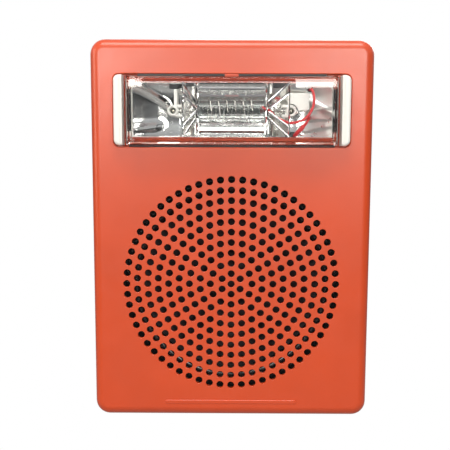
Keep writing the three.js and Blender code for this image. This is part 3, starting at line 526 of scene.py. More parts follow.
def wound(name, colour, axis, pitch, rough=0.35, metallic=0.0):
    """Turns of wire or tape lying side by side along an axis."""
    n = Nodes(name, Metallic=metallic)
    turns = n.wave(1.0 / (pitch * MM) / 20.0, axis, 0.4)
    base = n.ramp(turns, [(0.1, toned(colour, 0.45)), (0.6, colour)])
    roughness = n.span(n.noise(400.0), rough - 0.05, rough + 0.1)
    return n.finish(base, roughness, n.bump(turns, 0.6, 0.12))


def clear_material(name, tint, rough, shade):
    """Clear wall. Part of the lamps' light goes through each face of it, by the shade."""
    n = Nodes(name, Base_Color=tint, IOR=1.49, Transmission_Weight=1.0)
    through = n.add("BsdfTransparent", {"Color": (shade, shade, shade)})
    by_ray(n.tree, "Is Shadow Ray", n.shader.outputs["BSDF"], through, "Material Output")
    return n.finish(None, n.span(n.noise(260.0, 3.0), rough, rough + 0.04),
                    n.bump(n.noise(90.0, 2.0), 0.05, 0.12))


def mirror_material():
    """Vacuum metallised plastic: bright, with orange peel, dull clouds and a satin right wing."""
    n = Nodes("metallised_plastic", Metallic=1.0)
    base = n.ramp(n.noise(60.0, 3.0), [(0.3, (0.78, 0.77, 0.75)), (0.7, (0.93, 0.93, 0.92))])
    satin = n.span(n.add("SeparateXYZ", {"Vector": n.place}, "X"), 0.0, 0.22, 0.029, 0.031)
    roughness = n.maths("ADD", n.span(n.noise(180.0, 4.0), 0.03, 0.14), satin)
    ripple = n.bump(n.noise(190.0, 2.0), 0.25, 0.25)
    return n.finish(base, roughness, n.bump(n.noise(1500.0, 2.0), 0.08, 0.02, ripple))


def board_material():
    """Green solder mask over copper tracks."""
    n = Nodes("solder_mask", Coat_Weight=0.3, Coat_Roughness=0.2)
    tracks = n.add("TexVoronoi", {"Scale": 260.0, "Vector": n.place}, "Distance",
                   feature="DISTANCE_TO_EDGE")
    line = n.span(tracks, 1.0, 0.0, 0.02, 0.05)
    base = n.mix(line, (0.012, 0.12, 0.05), (0.03, 0.22, 0.09))
    return n.finish(base, n.span(n.noise(500.0), 0.28, 0.42), n.bump(line, 0.4, 0.05))


def paper_material():
    n = Nodes("cone_pulp")
    fibre = n.noise(1100.0, 5.0, 0.7)
    base = n.ramp(fibre, [(0.3, (0.018, 0.018, 0.02)), (0.75, (0.06, 0.06, 0.066))])
    return n.finish(base, n.span(fibre, 0.7, 0.9), n.bump(fibre, 0.5, 0.1))


def woven_material():
    """Resin dipped cloth of the spider."""
    n = Nodes("spider_cloth")
    weave = n.maths("MAXIMUM", n.wave(180.0, "X"), n.wave(180.0, "Z"))
    base = n.ramp(weave, [(0.3, (0.22, 0.12, 0.04)), (0.9, (0.55, 0.34, 0.13))])
    return n.finish(base, n.span(n.noise(300.0), 0.6, 0.8), n.bump(weave, 0.6, 0.12))


RED = moulded("red_polycarbonate", (0.63, 0.060, 0.006), 0.40, grain=0.2, tone=0.05,
              Specular_IOR_Level=0.5, Coat_Weight=0.8, Coat_Roughness=0.30)
CREAM = moulded("cream_plastic", (0.85, 0.84, 0.80), 0.36, grain=0.12, tone=0.03)
CHASSIS = moulded("chassis_plastic", (0.030, 0.030, 0.032), 0.5, grain=0.3, tone=0.15)
BLACK = moulded("black_plastic", (0.022, 0.022, 0.024), 0.42, grain=0.25, tone=0.15)
CLEAR = clear_material("clear_polycarbonate", (0.97, 0.985, 0.99, 1.0), 0.0, 0.56)
TUBE_GLASS = clear_material("tube_glass", (0.93, 0.95, 0.94, 1.0), 0.02, 0.9)
MIRROR = mirror_material()
GREEN = board_material()
PULP = paper_material()
CLOTH = woven_material()
ZINC = plain_metal("zinc_plate", (0.62, 0.63, 0.64), 0.3)
ENAMEL = moulded("basket_enamel", (0.02, 0.02, 0.022), 0.34, grain=0.1, tone=0.2)
BRASS = plain_metal("nickelled_brass", (0.60, 0.57, 0.50), 0.25)
NICKEL = plain_metal("nickel_wire", (0.70, 0.69, 0.66), 0.22)
FERRITE = moulded("sintered_ferrite", (0.035, 0.035, 0.037), 0.62, grain=0.8, tone=0.25,
                  grain_scale=1400.0)
FOAM = moulded("gasket_foam", (0.015, 0.015, 0.016), 0.9, grain=1.0, tone=0.3, grain_scale=1200.0)
RUBBER = moulded("surround_rubber", (0.012, 0.012, 0.013), 0.22, grain=0.12, tone=0.2)
SLEEVE_RED = moulded("red_sleeve", (0.62, 0.03, 0.035), 0.34, grain=0.1, tone=0.06)
SLEEVE_BLACK = moulded("black_sleeve", (0.02, 0.02, 0.02), 0.4, grain=0.1, tone=0.2)
SHRINK = moulded("capacitor_sleeve", (0.02, 0.03, 0.085), 0.28, grain=0.1, tone=0.15)
PHENOLIC = moulded("phenolic_strip", (0.24, 0.11, 0.04), 0.5, grain=0.4, tone=0.15)
LAMINATION = wound("laminations", (0.09, 0.09, 0.095), "Y", 0.5, 0.45, 0.6)
TAPE = wound("polyester_tape", (0.62, 0.40, 0.07), "Z", 2.2, 0.3)
COPPER_X = wound("trigger_winding", (0.52, 0.17, 0.06), "X", 0.35, 0.3, 0.9)
SOLDER = plain_metal("solder", (0.66, 0.66, 0.67), 0.28)
COPPER = wound("enamelled_copper", (0.52, 0.17, 0.06), "Y", 0.35, 0.3, 0.9)


# ------------------------------------------------------------ cover

def rounded_front(width, height, corner, edge, y_back, y_front, steps, foot=0.0, centre=(0.0, 0.0)):
    """Rings of a block whose front edge is a quarter round, and whose foot may have a chamfer."""
    rings = []
    if foot:
        rings.append((y_back, outline(width - 2 * foot, height - 2 * foot, corner - foot, centre)))
    rings.append((y_back - foot, outline(width, height, corner, centre)))
    for i in range(steps + 1):
        turn = math.pi / 2 * i / steps
        inset = edge * (1 - math.cos(turn))
        y = y_front + edge * (1 - math.sin(turn))
        rings.append((y, outline(width - 2 * inset, height - 2 * inset, corner - inset, centre)))
    return rings


def grille_places():
    """The centre hole and rings of six times the ring's number, on one pitch."""
    places = [(0.0, Z_GRILLE)]
    for ring in range(1, HOLE_RINGS + 1):
        for i in range(6 * ring):
            turn = 2 * math.pi * i / (6 * ring)
            places.append((ring * HOLE_PITCH * math.sin(turn),
                           Z_GRILLE + ring * HOLE_PITCH * math.cos(turn)))
    return places


def rim_profile(radius, rim, steps=3):
    """Radii and depths of a cutter that leaves a rounded rim in the front face."""
    points = [(radius + rim, Y_FRONT - 0.6)]
    for i in range(steps + 1):
        turn = math.pi / 2 * i / steps
        points.append((radius + rim * (1 - math.sin(turn)), Y_FRONT + rim * (1 - math.cos(turn))))
    points.append((radius, Y_INSIDE + 0.6))
    return points


def hole_cutters():
    """One object that holds a flared plug for every hole of the grille."""
    profile = rim_profile(HOLE_RADIUS, HOLE_RIM)
    vertices, faces = [], []
    for x0, z0 in grille_places():
        first = len(vertices)
        for radius, y in profile:
            for j in range(HOLE_SIDES):
                turn = 2 * math.pi * j / HOLE_SIDES
                vertices.append((x0 + radius * math.sin(turn), y, z0 + radius * math.cos(turn)))
        for i in range(len(profile) - 1):
            faces += band(first + (i + 1) * HOLE_SIDES, first + i * HOLE_SIDES, HOLE_SIDES)
        last = first + (len(profile) - 1) * HOLE_SIDES
        faces.append([first + j for j in range(HOLE_SIDES)][::-1])
        faces.append([last + j for j in range(HOLE_SIDES)])
    return mesh_piece("hole_cutters", vertices, faces)


def window_cutter():
    low, high = box_mm("lens_clip_left")[0], box_mm("lens_clip_right")[1]
    width = high.x - low.x + 2 * WINDOW_FIT
    height = high.z - low.z + 2 * WINDOW_FIT
    centre = ((low.x + high.x) / 2, (low.z + high.z) / 2)
    rings = []
    for grow, y in rim_profile(0.0, WINDOW_RIM, 4):
        rings.append((y, outline(width + 2 * grow, height + 2 * grow, WINDOW_CORNER + grow, centre)))
    return loft("window_cutter", rings)


def tongues():
    """The snap tongues inside the cover's top and bottom walls, as in the CAD model."""
    width, thickness, spacing, foot = 12.0, 1.2, 62.0, 1.0
    inner = cover_high.z - COVER_WALL
    pieces = []
    for side in (-1, 1):
        for end in (-1, 1):
            z = sorted((end * (inner - thickness), end * (inner + COVER_WALL / 2)))
            x = side * spacing / 2
            pieces.append(block("tongue", about(x, width / 2), (-14.0, -foot), z, 0.3))
    return pieces


def front_cover():
    width, height = cover_high.x - cover_low.x, cover_high.z - cover_low.z
    shell = loft("front_cover_fine",
                 rounded_front(width, height, COVER_CORNER, COVER_EDGE, cover_high.y, Y_FRONT, 10, 0.25))
    inner = loft("inner", rounded_front(width - 2 * COVER_WALL, height - 2 * COVER_WALL,
                                        COVER_CORNER - COVER_WALL, COVER_EDGE - COVER_WALL,
                                        cover_high.y + 1, Y_INSIDE, 5))
    combine(shell, [inner], "DIFFERENCE")
    bar_width, bar_height, bar_rise = LABEL_BAR
    bar_z = cover_low.z + LABEL_RISE
    bar = loft("bar", [(y, outline(bar_width - 2 * inset, bar_height - 2 * inset,
                                   bar_height / 2 - inset - 0.01, (0.0, bar_z)))
                       for inset, y in ((0.0, Y_FRONT + 0.5), (0.0, Y_FRONT - bar_rise * 0.5),
                                        (0.12, Y_FRONT - bar_rise))])
    combine(shell, [bar, *tongues()], "UNION")
    recess = rod("recess", GRILLE_RECESS, (Y_FRONT + GRILLE_WALL, Y_INSIDE + 1), (0, Z_GRILLE), 128)
    combine(shell, [window_cutter(), recess, hole_cutters()], "DIFFERENCE")
    stand_for(shell, "front_cover", RED, 40)


# ------------------------------------------------------------ strobe

def lens_clips():
    """The cream clips at the lens's ends: a rounded bead with a groove along its inner side."""
    for end, side in ENDS:
        name = "lens_clip_" + end
        low, high = box_mm(name)
        reach = max(abs(low.x), abs(high.x))
        inner = min(abs(low.x), abs(high.x))
        clip = loft(name + "_fine", rounded_front(2 * reach, LENS_HEIGHT, CLIP_CORNER, CLIP_EDGE,
                                                  high.y, low.y, 5, centre=(0, Z_STROBE)))
        spans = sorted((side * (inner + 0.5), side * (reach + 1)))
        tall = (low.z - 1, high.z + 1)
        keep = block("keep", spans, (low.y - 1, high.y + 1), tall, 0.35)
        combine(clip, [keep], "INTERSECT")
        groove = block("groove", about(side * (inner + 1.4), 0.22), (low.y - 1, low.y + 0.4), tall, 0)
        combine(clip, [groove], "DIFFERENCE")
        stand_for(clip, name, CREAM, 40)


def dark_block(name, x, y, z, bevel):
    """A small black piece behind or beside the lens."""
    extra(block(name, x, y, z, bevel), BLACK, 40)


def lens_gap_painted_shade():
    """Black strips in the gaps above and below the lens: painted shade in the deep gap above, painted
    shadow under the lens, with a red stop in the upper one.
    """
    gap = LENS_HEIGHT / 2 + WINDOW_FIT / 2
    y = (Y_FRONT + 0.1, Y_FRONT + 1.6)
    above, below = about(Z_STROBE + gap, 0.30), about(Z_STROBE - gap, 0.30)
    # Black strips: painted shade in the gap above the lens.
    dark_block("lens_gap_painted_shade_left", (-40.0, -3.2), y, above, 0.08)
    extra(block("lens_seal_stop", (-2.9, 2.6), y, above, 0.08), RED, 40)
    dark_block("lens_gap_painted_shade_right", (2.9, 40.0), y, above, 0.08)
    # Black strip: painted shadow in the gap under the lens.
    dark_block("lens_painted_shadow_below", (-44.0, 44.0), y, below, 0.08)


def ridge(start, end, half_width, y_base, y_tip):
    """A three sided bar on the lens's inner face, from one (x, z) to another."""
    (x0, z0), (x1, z1) = start, end
    length = math.hypot(x1 - x0, z1 - z0)
    across = (-(z1 - z0) / length * half_width, (x1 - x0) / length * half_width)
    vertices = []
    for x, z in ((x0, z0), (x1, z1)):
        vertices += [(x + across[0], y_base, Z_STROBE + z + across[1]), (x, y_tip, Z_STROBE + z),
                     (x - across[0], y_base, Z_STROBE + z - across[1])]
    return face_outwards(mesh_piece("ridge", vertices, [
        (0, 1, 2), (5, 4, 3), (0, 3, 4, 1), (1, 4, 5, 2), (2, 5, 3, 0)]))


def barrel(x, y_inside, steps=14):
    """The round backed bar on the lens's inner face, which magnifies the tube."""
    half, rise = BARREL
    vertices = []
    for end in x:
        for k in range(steps + 1):
            turn = 2 * k / steps - 1
            vertices.append((end, y_inside + rise * (1 - turn * turn), Z_STROBE + half * turn))
        vertices += [(end, y_inside - 0.3, Z_STROBE + half), (end, y_inside - 0.3, Z_STROBE - half)]
    count = steps + 3
    faces = [tuple(range(count)), tuple(range(2 * count - 1, count - 1, -1))]
    faces += [(k, count + k, count + (k + 1) % count, (k + 1) % count) for k in range(count)]
    return face_outwards(mesh_piece("barrel", vertices, faces))


def lens_rings(grow, y_back, y_front):
    """The lens's outline from its foot to its front, which leans in and has a soft edge."""
    dx, dz = LENS_DRAFT
    foot = Y_FRONT - LENS_FOOT

    def ring(y, inset_x, inset_z):
        return y, outline(LENS_WIDTH + 2 * grow - 2 * inset_x, LENS_HEIGHT + 2 * grow - 2 * inset_z,
                          LENS_CORNER + grow, (0, Z_STROBE))

    rings = [ring(y_back, 0, 0)]
    for k in range(4):
        lean = LENS_LEAN * k / 3
        rings.append(ring(foot + (y_front + LENS_EDGE - foot) * k / 3, dx * lean, dz * lean))
    for k in range(1, 5):
        turn = math.pi / 2 * k / 4
        share = 1 - math.cos(turn)
        rings.append(ring(y_front + LENS_EDGE * (1 - math.sin(turn)),
                          dx * 0.8 + (dx * 0.2 + LENS_EDGE * 0.5) * share,
                          dz * 0.8 + (dz * 0.2 + LENS_EDGE * 0.5) * share))
    return rings


def strobe_lens():
    low, high = box_mm("strobe_lens")
    inside = low.y + LENS_WALL
    lens = loft("strobe_lens_fine", lens_rings(0.0, high.y, low.y))
    cavity = loft("cavity", lens_rings(-LENS_WALL, high.y + 1, inside))
    combine(lens, [cavity], "DIFFERENCE")
    relief = []
    base, tip = inside - 0.3, inside + OPTIC_HEIGHT
    half = LENS_HEIGHT / 2 - LENS_WALL - 2.0
    pitch = (half - BARREL[0] - 0.4) / OPTIC_RIBS
    for i in range(OPTIC_RIBS):
        z = half - (i + 0.5) * pitch
        for end in (-1, 1):
            relief.append(ridge((-13.8, end * z), (13.6, end * z), 0.42 * pitch, base, tip))
    relief.append(barrel((-13.4, 13.2), inside))
    for side, edge in ((-1, 20.4), (1, 23.6)):
        relief.append(ridge((side * 14.4, -half), (side * 14.4, half), 0.7, base, tip))
        for z0, z1 in ((half, half * 0.30), (half * 0.62, half * 0.05), (-half * 0.62, -half * 0.05),
                       (-half, -half * 0.30)):
            relief.append(ridge((side * edge, z0), (side * 15.0, z1), 0.75, base, inside + 0.55))
        relief.append(ridge((side * edge, -half * 0.9), (side * edge, half * 0.9), 0.5, base,
                            inside + 0.7))
    combine(lens, relief, "UNION")
    stand_for(lens, "strobe_lens", CLEAR)


def swell(value, middle, width):
    return math.exp(-((value - middle) / width) ** 2)


def ease(a, b, value):
    t = min(1.0, max(0.0, (value - a) / (b - a)))
    return t * t * (3 - 2 * t)


def reflector_depth(x, z):
    """Y of the mirror's face at x, and z from the tube's axis: a trough between two dishes."""
    low, high = box_mm("reflector")
    vertex, tip, reach = high.y - 1.0, low.y, high.x
    half = (high.z - low.z) / 2
    trough = vertex - TROUGH_DEPTH * (z / half) ** 2
    u = max(0.0, (abs(x) - 26.0) / (reach - 26.0))
    dish = vertex - 1.6 + (tip - vertex + 1.6) * u ** 2 - 2.2 * (z / half) ** 4
    if x < 0:
        along = (-x - 26.0) / 15.0
        crest = 1.0 + 9.5 * max(0.0, along) ** 0.8
        dish -= 2.2 * swell(z, crest, 1.15) * ease(0.0, 0.15, along)
        dish -= 0.9 * swell(z, -6.0 - 2.0 * along, 2.0) * ease(0.1, 0.5, along)
    else:
        along = (x - 26.0) / 15.0
        dish -= 1.4 * swell(z, 8.6 - 9.0 * along, 1.6) * ease(0.3, 0.5, along)
        dish -= 1.1 * ease(-4.4, -3.6, z) * ease(1.2, 0.4, z) * ease(0.35, 0.5, along)
        dish -= 0.8 * swell(z, -9.0 + 3.0 * along, 1.5) * ease(0.1, 0.4, along)
    blend = ease(20.8, 22.4, abs(x)) if x < 0 else ease(23.4, 25.2, abs(x))
    return trough * (1 - blend) + dish * blend


def reflector():
    """A metallised skin over a fine grid, with holes for the tube's posts and the leads."""
    low, high = box_mm("reflector")
    half = (high.z - low.z) / 2
    across, up = 172, 48
    vertices, faces = [], []
    for back in (0, 1):
        for j in range(up + 1):
            z = -half + 2 * half * j / up
            for i in range(across + 1):
                x = low.x + (high.x - low.x) * i / across
                y = reflector_depth(x, z) + back * 0.9
                vertices.append((x, y, Z_STROBE + z))
    row, layer = across + 1, (across + 1) * (up + 1)
    for j in range(up):
        for i in range(across):
            a = j * row + i
            faces.append((a, a + 1, a + 1 + row, a + row))
            faces.append((layer + a, layer + a + row, layer + a + 1 + row, layer + a + 1))
    border = ([i for i in range(row)] + [j * row + across for j in range(1, up + 1)]
              + [up * row + i for i in range(across - 1, -1, -1)]
              + [j * row for j in range(up - 1, 0, -1)])
    for k in range(len(border)):
        a, b = border[k], border[(k + 1) % len(border)]
        faces.append((a, b, layer + b, layer + a))
    skin = face_outwards(mesh_piece("reflector_fine", vertices, faces))
    holes = []
    for x, z, radius in ((-TERMINAL_X, 0.0, 1.3), (TERMINAL_X, 0.0, 1.3), (*LEAD_EXIT, 1.2),
                         (*RETURN_EXIT, 1.2)):
        holes.append(rod("hole", radius, (low.y - 3, high.y + 3), (x, Z_STROBE + z), 24))
    grommet_low, grommet_high = box_mm("lead_grommet")
    holes.append(block("hole", (grommet_low.x - 0.3, grommet_high.x + 0.3), (low.y - 3, high.y + 3),
                       (low.z - 1, grommet_high.z + 0.3), 0))
    combine(skin, holes, "DIFFERENCE")
    stand_for(skin, "reflector", MIRROR, 50, False)


def reflector_rims():
    """Cream plastic left bare along the dishes' edges, at the corners and along the ends."""
    low, high = box_mm("reflector")
    half = (high.z - low.z) / 2
    reach = abs(low.x)
    pieces = []
    for side in (-1, 1):
        inner = 21.6 if side < 0 else 24.4
        for end in (-1, 1):
            route = []
            for k in range(41):
                x = inner + (reach - 0.5 - inner) * k / 40
                wave = 0.28 * math.sin(x * 1.9 + end) + 0.2 * math.sin(x * 0.83 + 2 * side)
                z = end * (half - 0.35 + 0.35 * wave)
                route.append(Vector((side * x, reflector_depth(side * x, end * half * 0.97) - 0.42,
                                     Z_STROBE + z)))
            pieces.append(sweep("rim", route, lambda t: 0.48 + 0.08 * math.sin(11 * t), 10))
            corner = [(side * (reach - dx), end * (half - dz))
                      for dx, dz in ((3.2, 0.7), (0.9, 1.2), (0.5, 3.6))]
            route = smooth_route([(x, reflector_depth(x, z) - 0.5, Z_STROBE + z)
                                  for x, z in corner], 14)
            pieces.append(sweep("gusset", route, lambda t: 1.0 - 0.6 * abs(t - 0.45), 12))
        x = side * (reach - 0.4)
        heights = [-half + 1 + (2 * half - 2) * k / 30 for k in range(31)]
        route = [Vector((x, reflector_depth(x, z) - 0.3, Z_STROBE + z)) for z in heights]
        pieces.append(sweep("side", route, 0.26, 8))
    rims = combine(pieces[0], pieces[1:], "UNION")
    extra(rims, CREAM, 60, False).name = "reflector_rims"


def terminal_boss(name, side):
    """The moulded eye round a tube post, its tabs towards the tube and the left one's rib."""
    centre = (side * TERMINAL_X, Z_STROBE)
    y = Y_TUBE - 0.9
    ring = turned("terminal_boss_" + name,
                  [(1.3, y + 0.3), (1.45, y), (1.9, y - 0.15), (2.25, y + 0.15), (2.4, y + 0.7),
                   (2.4, Y_TUBE + 2.4), (1.3, Y_TUBE + 2.4)], centre, 48)
    spans = sorted((side * (TERMINAL_X - 1.2), side * (TERMINAL_X - 4.0)))
    parts = []
    for end in (-1, 1):
        z = Z_STROBE + end * 2.0
        parts.append(block("tab", spans, (y + 0.2, Y_TUBE + 2.2), about(z, 0.55), 0.2))
    if side < 0:
        x = -TERMINAL_X + 1.2
        parts.append(block("rib", about(x, 0.7), (y + 0.4, Y_TUBE + 2.2),
                           (Z_STROBE + 1.6, Z_STROBE + 9.0), 0.25))
    combine(ring, parts, "UNION")
    extra(ring, CREAM, 45)


def tube_terminals():
    for name, side in ENDS:
        centre = (side * TERMINAL_X, Z_STROBE)
        node = "tube_terminal_" + name
        rear = box_mm(node)[1].y
        profile = [(0, rear), (PIN_RADIUS, rear)] + dome(PIN_RADIUS, Y_TUBE + 1.1, 0.5, 6)
        stand_for(turned(node + "_fine", profile, centre, 28, False), node, BRASS, 40)
        terminal_boss(name, side)


def flash_tube():
    low, high = box_mm("flash_tube")
    half, bore, edge = (high.x - low.x) / 2, TUBE_BORE, 0.18
    radius = (high.z - low.z) / 2
    glass = turned("flash_tube_fine",
                   [(radius, -half + edge), (radius, half - edge), (radius - edge, half),
                    (bore + edge, half), (bore, half - edge), (bore, -half + edge),
                    (bore + edge, -half), (radius - edge, -half)], (0, 0), 56)
    along_x(glass, (Y_TUBE, Z_STROBE))
    stand_for(glass, "flash_tube", TUBE_GLASS, 40, False)
    for name, side in ENDS:
        low, high = box_mm("tube_electrode_" + name)
        near, far = min(abs(low.x), abs(high.x)), max(abs(low.x), abs(high.x))
        profile = [(0, near), (1.1, near), (1.7, near + 0.3), (1.8, near + 0.8), (1.6, near + 1.7),
                   (0.7, near + 2.3), (0.4, near + 2.6), (0.4, far), (0, far)]
        seal = turned("tube_electrode_" + name + "_fine",
                      [(r, side * x) for r, x in profile], (0, 0), 32, False)
        along_x(seal, (Y_TUBE, Z_STROBE))
        stand_for(face_outwards(seal), "tube_electrode_" + name, NICKEL, 45, False)
    low, high = box_mm("trigger_wire")
    span, radius = high.x - low.x, (high.z - low.z) / 2 - 0.2
    route = []
    for k in range(TRIGGER_TURNS * 28 + 1):
        t = k / (TRIGGER_TURNS * 28)
        turn = 2 * math.pi * TRIGGER_TURNS * t
        route.append(Vector(((t - 0.5) * span, Y_TUBE + radius * math.cos(turn),
                             Z_STROBE + radius * math.sin(turn))))
    stand_for(sweep("trigger_wire_fine", route, 0.2, 8), "trigger_wire", NICKEL, 60, False)


def strobe_leads():
    x, z = LEAD_EXIT[0], Z_STROBE + LEAD_EXIT[1]
    y = Y_TUBE - 4
    end = box_mm("trigger_lead")[0].x + 0.3
    rear = box_mm("trigger_lead")[1].y
    trigger = smooth_route(
        [(x, rear, z), (x, Y_TUBE + 3, z), (x, y + 1.4, z - 0.4), (x + 0.8, y, z - 3),
         (x + 0.7, y - 0.6, z - 7), (x - 1.7, y - 1, z - 11.6), (x - 5.3, y - 1, z - 13.8),
         (x - 9.6, y - 0.6, z - 14.2), (x - 14.6, y, z - 12.2), (x - 17.6, y + 0.6, z - 9.4),
         (end, y + 0.8, z - 8.1)], 110)
    lead = sweep("trigger_lead_fine", trigger, lambda t: 0.58 - 0.22 * ease(0.965, 0.99, t), 16)
    stand_for(lead, "trigger_lead", SLEEVE_RED, 50, False)
    x, z = RETURN_EXIT[0], Z_STROBE + RETURN_EXIT[1]
    low, high = box_mm("lead_grommet")
    y, top = low.y - 0.3, high.z
    back = smooth_route(
        [(TERMINAL_X + 1.4, y, top - 1.4), (TERMINAL_X + 2.4, y - 1.6, top),
         (x - 3.2, y - 1.8, z - 4.6), (x - 1, y - 0.6, z - 2), (x, y + 1.6, z), (x, rear, z)], 80)
    lead = sweep("return_lead_fine", back, lambda t: 0.58 + 0.28 * ease(0.5, 0.42, t), 16)
    stand_for(lead, "return_lead", SLEEVE_RED, 50, False)


def strobe_details():
    """Small parts behind the lens: black stops, a black bar of painted dark reflection along the top of
    the trough, slots and foot seals, and a cream shield.
    """
    low, high = box_mm("reflector")
    # The "shade" stop is a black bar of painted dark reflection, set where the mirror shows a dark band
    # above the tube.
    stops = (("stop", 17.4, 22.9, 9.6, 12.3), ("notch", -26.8, -22.6, 9.3, 11.3),
             ("shade", -14.2, 13.4, 9.0, 11.4), ("corner", -19.6, -16.2, 10.4, 12.2))
    for name, x0, x1, z0, z1 in stops:
        y = min(reflector_depth(x, z) for x in (x0, x1) for z in (z0, z1))
        dark_block("reflector_" + name, (x0, x1), (y - 0.9, y + 1.4), (Z_STROBE + z0, Z_STROBE + z1),
                   0.25)
    for name, side in ENDS:
        dark_block("side_slot_" + name, about(side * (high.x + 0.6), 0.42),
                   (low.y + 2.6, low.y + 3.9), about(Z_STROBE, 8.5), 0.1)
        span = sorted((side * (high.x + 1.1), side * (lens_high.x - 0.1)))
        dark_block("foot_seal_" + name, span, (lens_high.y + 0.06, lens_high.y + 0.24),
                   about(Z_STROBE, 9.0), 0.04)
    shield = loft("terminal_shield", [(y, outline(9.2 - 2 * i, 7.4 - 2 * i, 1.4 - i,
                                                  (28.3, Z_STROBE + 3.9)))
                                      for y, i in ((Y_TUBE + 1.6, 0.0), (Y_TUBE + 1.0, 0.0),
                                                   (Y_TUBE + 0.8, 0.2))])
    pin = rod("hole", 3.1, (Y_TUBE - 3, Y_TUBE + 5), (TERMINAL_X, Z_STROBE), 32)
    combine(shield, [pin], "DIFFERENCE")
    extra(shield, CREAM, 40)


def strobe_tray():
    stand_for(refined("strobe_tray", 0.3, 2), "strobe_tray", RED)
    stand_for(refined("lead_grommet", 0.35, 3), "lead_grommet", BLACK)


# ------------------------------------------------------------ loudspeaker

AXIS = (0.0, Z_GRILLE)
SIDES = 96


def speaker_basket():
    """A pan with four ears for its screws and six windows."""
    low, high = box_mm("speaker_basket")
    y_flange, y_rear = low.y, high.y
    t, bore, seat = 1.3, 45.2, 24.0
    cup = y_rear - t - 3.4
    basket = turned("speaker_basket_fine", [
        (50.5, y_flange), (45.4, y_flange), (45.2, y_flange + 0.2), (45.2, y_flange + t),
        (seat + 0.5, cup - 0.3), (seat, cup + 0.3), (seat, y_rear - t), (13.0, y_rear - t),
        (13.0, y_rear), (seat + t - 0.5, y_rear), (seat + t, y_rear - 0.5), (seat + t, cup + t),
        (bore + t, y_flange + 2 * t), (bore + t, y_flange + t), (50.6, y_flange + t),
        (50.8, y_flange + t - 0.3), (50.8, y_flange + 0.3)], AXIS, SIDES)
    ears, holes = [], []
    for x, z in EAR_PLACES:
        ears.append(turned("ear", [(0, y_flange), (3.7, y_flange), (4, y_flange + 0.3),
                                   (4, y_flange + t), (0, y_flange + t)], (x, z), 36, False))
        holes.append(rod("hole", 1.55, (y_flange - 1, y_flange + t + 1), (x, z), 24))
    combine(basket, ears, "UNION")
    for i in range(6):
        middle, spread = (i + 0.5) * math.pi / 3, math.pi / 6 - 0.16
        points = []
        for radius, turns in ((42.2, range(13)), (28.0, range(12, -1, -1))):
            for k in turns:
                turn = middle + spread * (k / 6 - 1)
                points.append((radius * math.cos(turn), Z_GRILLE + radius * math.sin(turn)))
        holes.append(loft("window", [(y_rear - t, points), (y_flange + t + 0.6, points)]))
    combine(basket, holes, "DIFFERENCE")
    stand_for(basket, "speaker_basket", ENAMEL)


def speaker_gasket():
    low, high = box_mm("speaker_gasket")
    inner, outer = high.x - 2.7, high.x
    gasket = turned("speaker_gasket_fine", [
        (outer - 0.3, low.y), (inner + 0.3, low.y), (inner, low.y + 0.3), (inner, high.y),
        (outer, high.y), (outer, low.y + 0.3)], AXIS, SIDES)
    stand_for(gasket, "speaker_gasket", FOAM)


def surround():
    """A thin rolled ring between two flat lips."""
    low, high = box_mm("surround")
    inner, outer, film = 38.5, 46.5, 0.45
    middle, half, rise = (inner + outer) / 2, (outer - inner) / 2 - 1.3, high.y - low.y - 0.5
    front, rear = [(outer, high.y - film)], [(outer, high.y)]
    for k in range(17):
        turn = math.pi * k / 16
        front.append((middle + half * math.cos(turn), high.y - film - rise * math.sin(turn)))
        rear.append((middle + half * math.cos(turn) * 0.93, high.y - rise * math.sin(turn)))
    front.append((inner, high.y - film))
    rear.append((inner, high.y))
    ring = turned("surround_fine", front + rear[::-1], AXIS, SIDES)
    stand_for(ring, "surround", RUBBER, 50, False)


def cone():
    """Pulp paper with five faint ripples."""
    low, high = box_mm("cone")
    paper, neck, rim = 0.8, 11.1, 38.2
    line = []
    for k in range(25):
        u = k / 24
        ripple = 0.16 * math.sin(2 * math.pi * 5 * u) * (1 if 0.08 < u < 0.9 else 0)
        line.append((rim + (neck - rim) * u,
                     low.y + (high.y - low.y - paper) * u + 1.1 * math.sin(math.pi * u) * 0.9 + ripple))
    paper_cone = turned("cone_fine", sheet(line, paper), AXIS, SIDES)
    stand_for(paper_cone, "cone", PULP, 50, False)


def dust_cap():
    low, high = box_mm("dust_cap")
    radius, rise = 12.3, high.y - low.y - 0.5
    front = dome(radius, high.y - 0.5, rise, 12)
    front[-1] = (0, front[-1][1])
    cap = turned("dust_cap_fine", sheet(front[::-1], 0.5), AXIS, 72, False)
    stand_for(cap, "dust_cap", PULP, 50, False)


def spider():
    """A cloth disc with three waves."""
    low, high = box_mm("spider")
    inner, outer, film = 11.1, 23.7, 0.4
    middle = (low.y + high.y - film) / 2
    line = [(inner + (outer - inner) * k / 48,
             middle + 0.75 * math.sin(3 * 2 * math.pi * k / 48)) for k in range(49)]
    disc = turned("spider_fine", sheet(line, film), AXIS, 72)
    stand_for(disc, "spider", CLOTH, 60, False)


def voice_coil_and_magnet():
    """The plain rings of the motor, with rounded outer edges where they have them."""
    rounds = {
        "voice_coil": ([(10.8, 0.0), (9.9, 0.0), (9.9, 1.0), (10.8, 1.0)], COPPER, 0.0),
        "top_plate": ([(24.5, 0.0), (11.3, 0.0), (11.3, 1.0), (24.5, 1.0)], ZINC, 0.5),
        "magnet": ([(27.5, 0.0), (14.0, 0.0), (14.0, 1.0), (27.5, 1.0)], FERRITE, 0.9),
    }
    for name, (corners, material, edge) in rounds.items():
        low, high = box_mm(name)
        profile = []
        for radius, share in corners:
            y = low.y + (high.y - low.y) * share
            inwards = 1 if share == 0.0 else -1
            if edge and radius == max(r for r, _ in corners):
                steps = [(radius - edge, y), (radius - 0.3 * edge, y + inwards * 0.3 * edge),
                         (radius, y + inwards * edge)]
                profile += steps if share == 1.0 else steps[::-1]
            else:
                profile.append((radius, y))
        ring = turned(name + "_fine", profile, AXIS, SIDES)
        stand_for(ring, name, material)


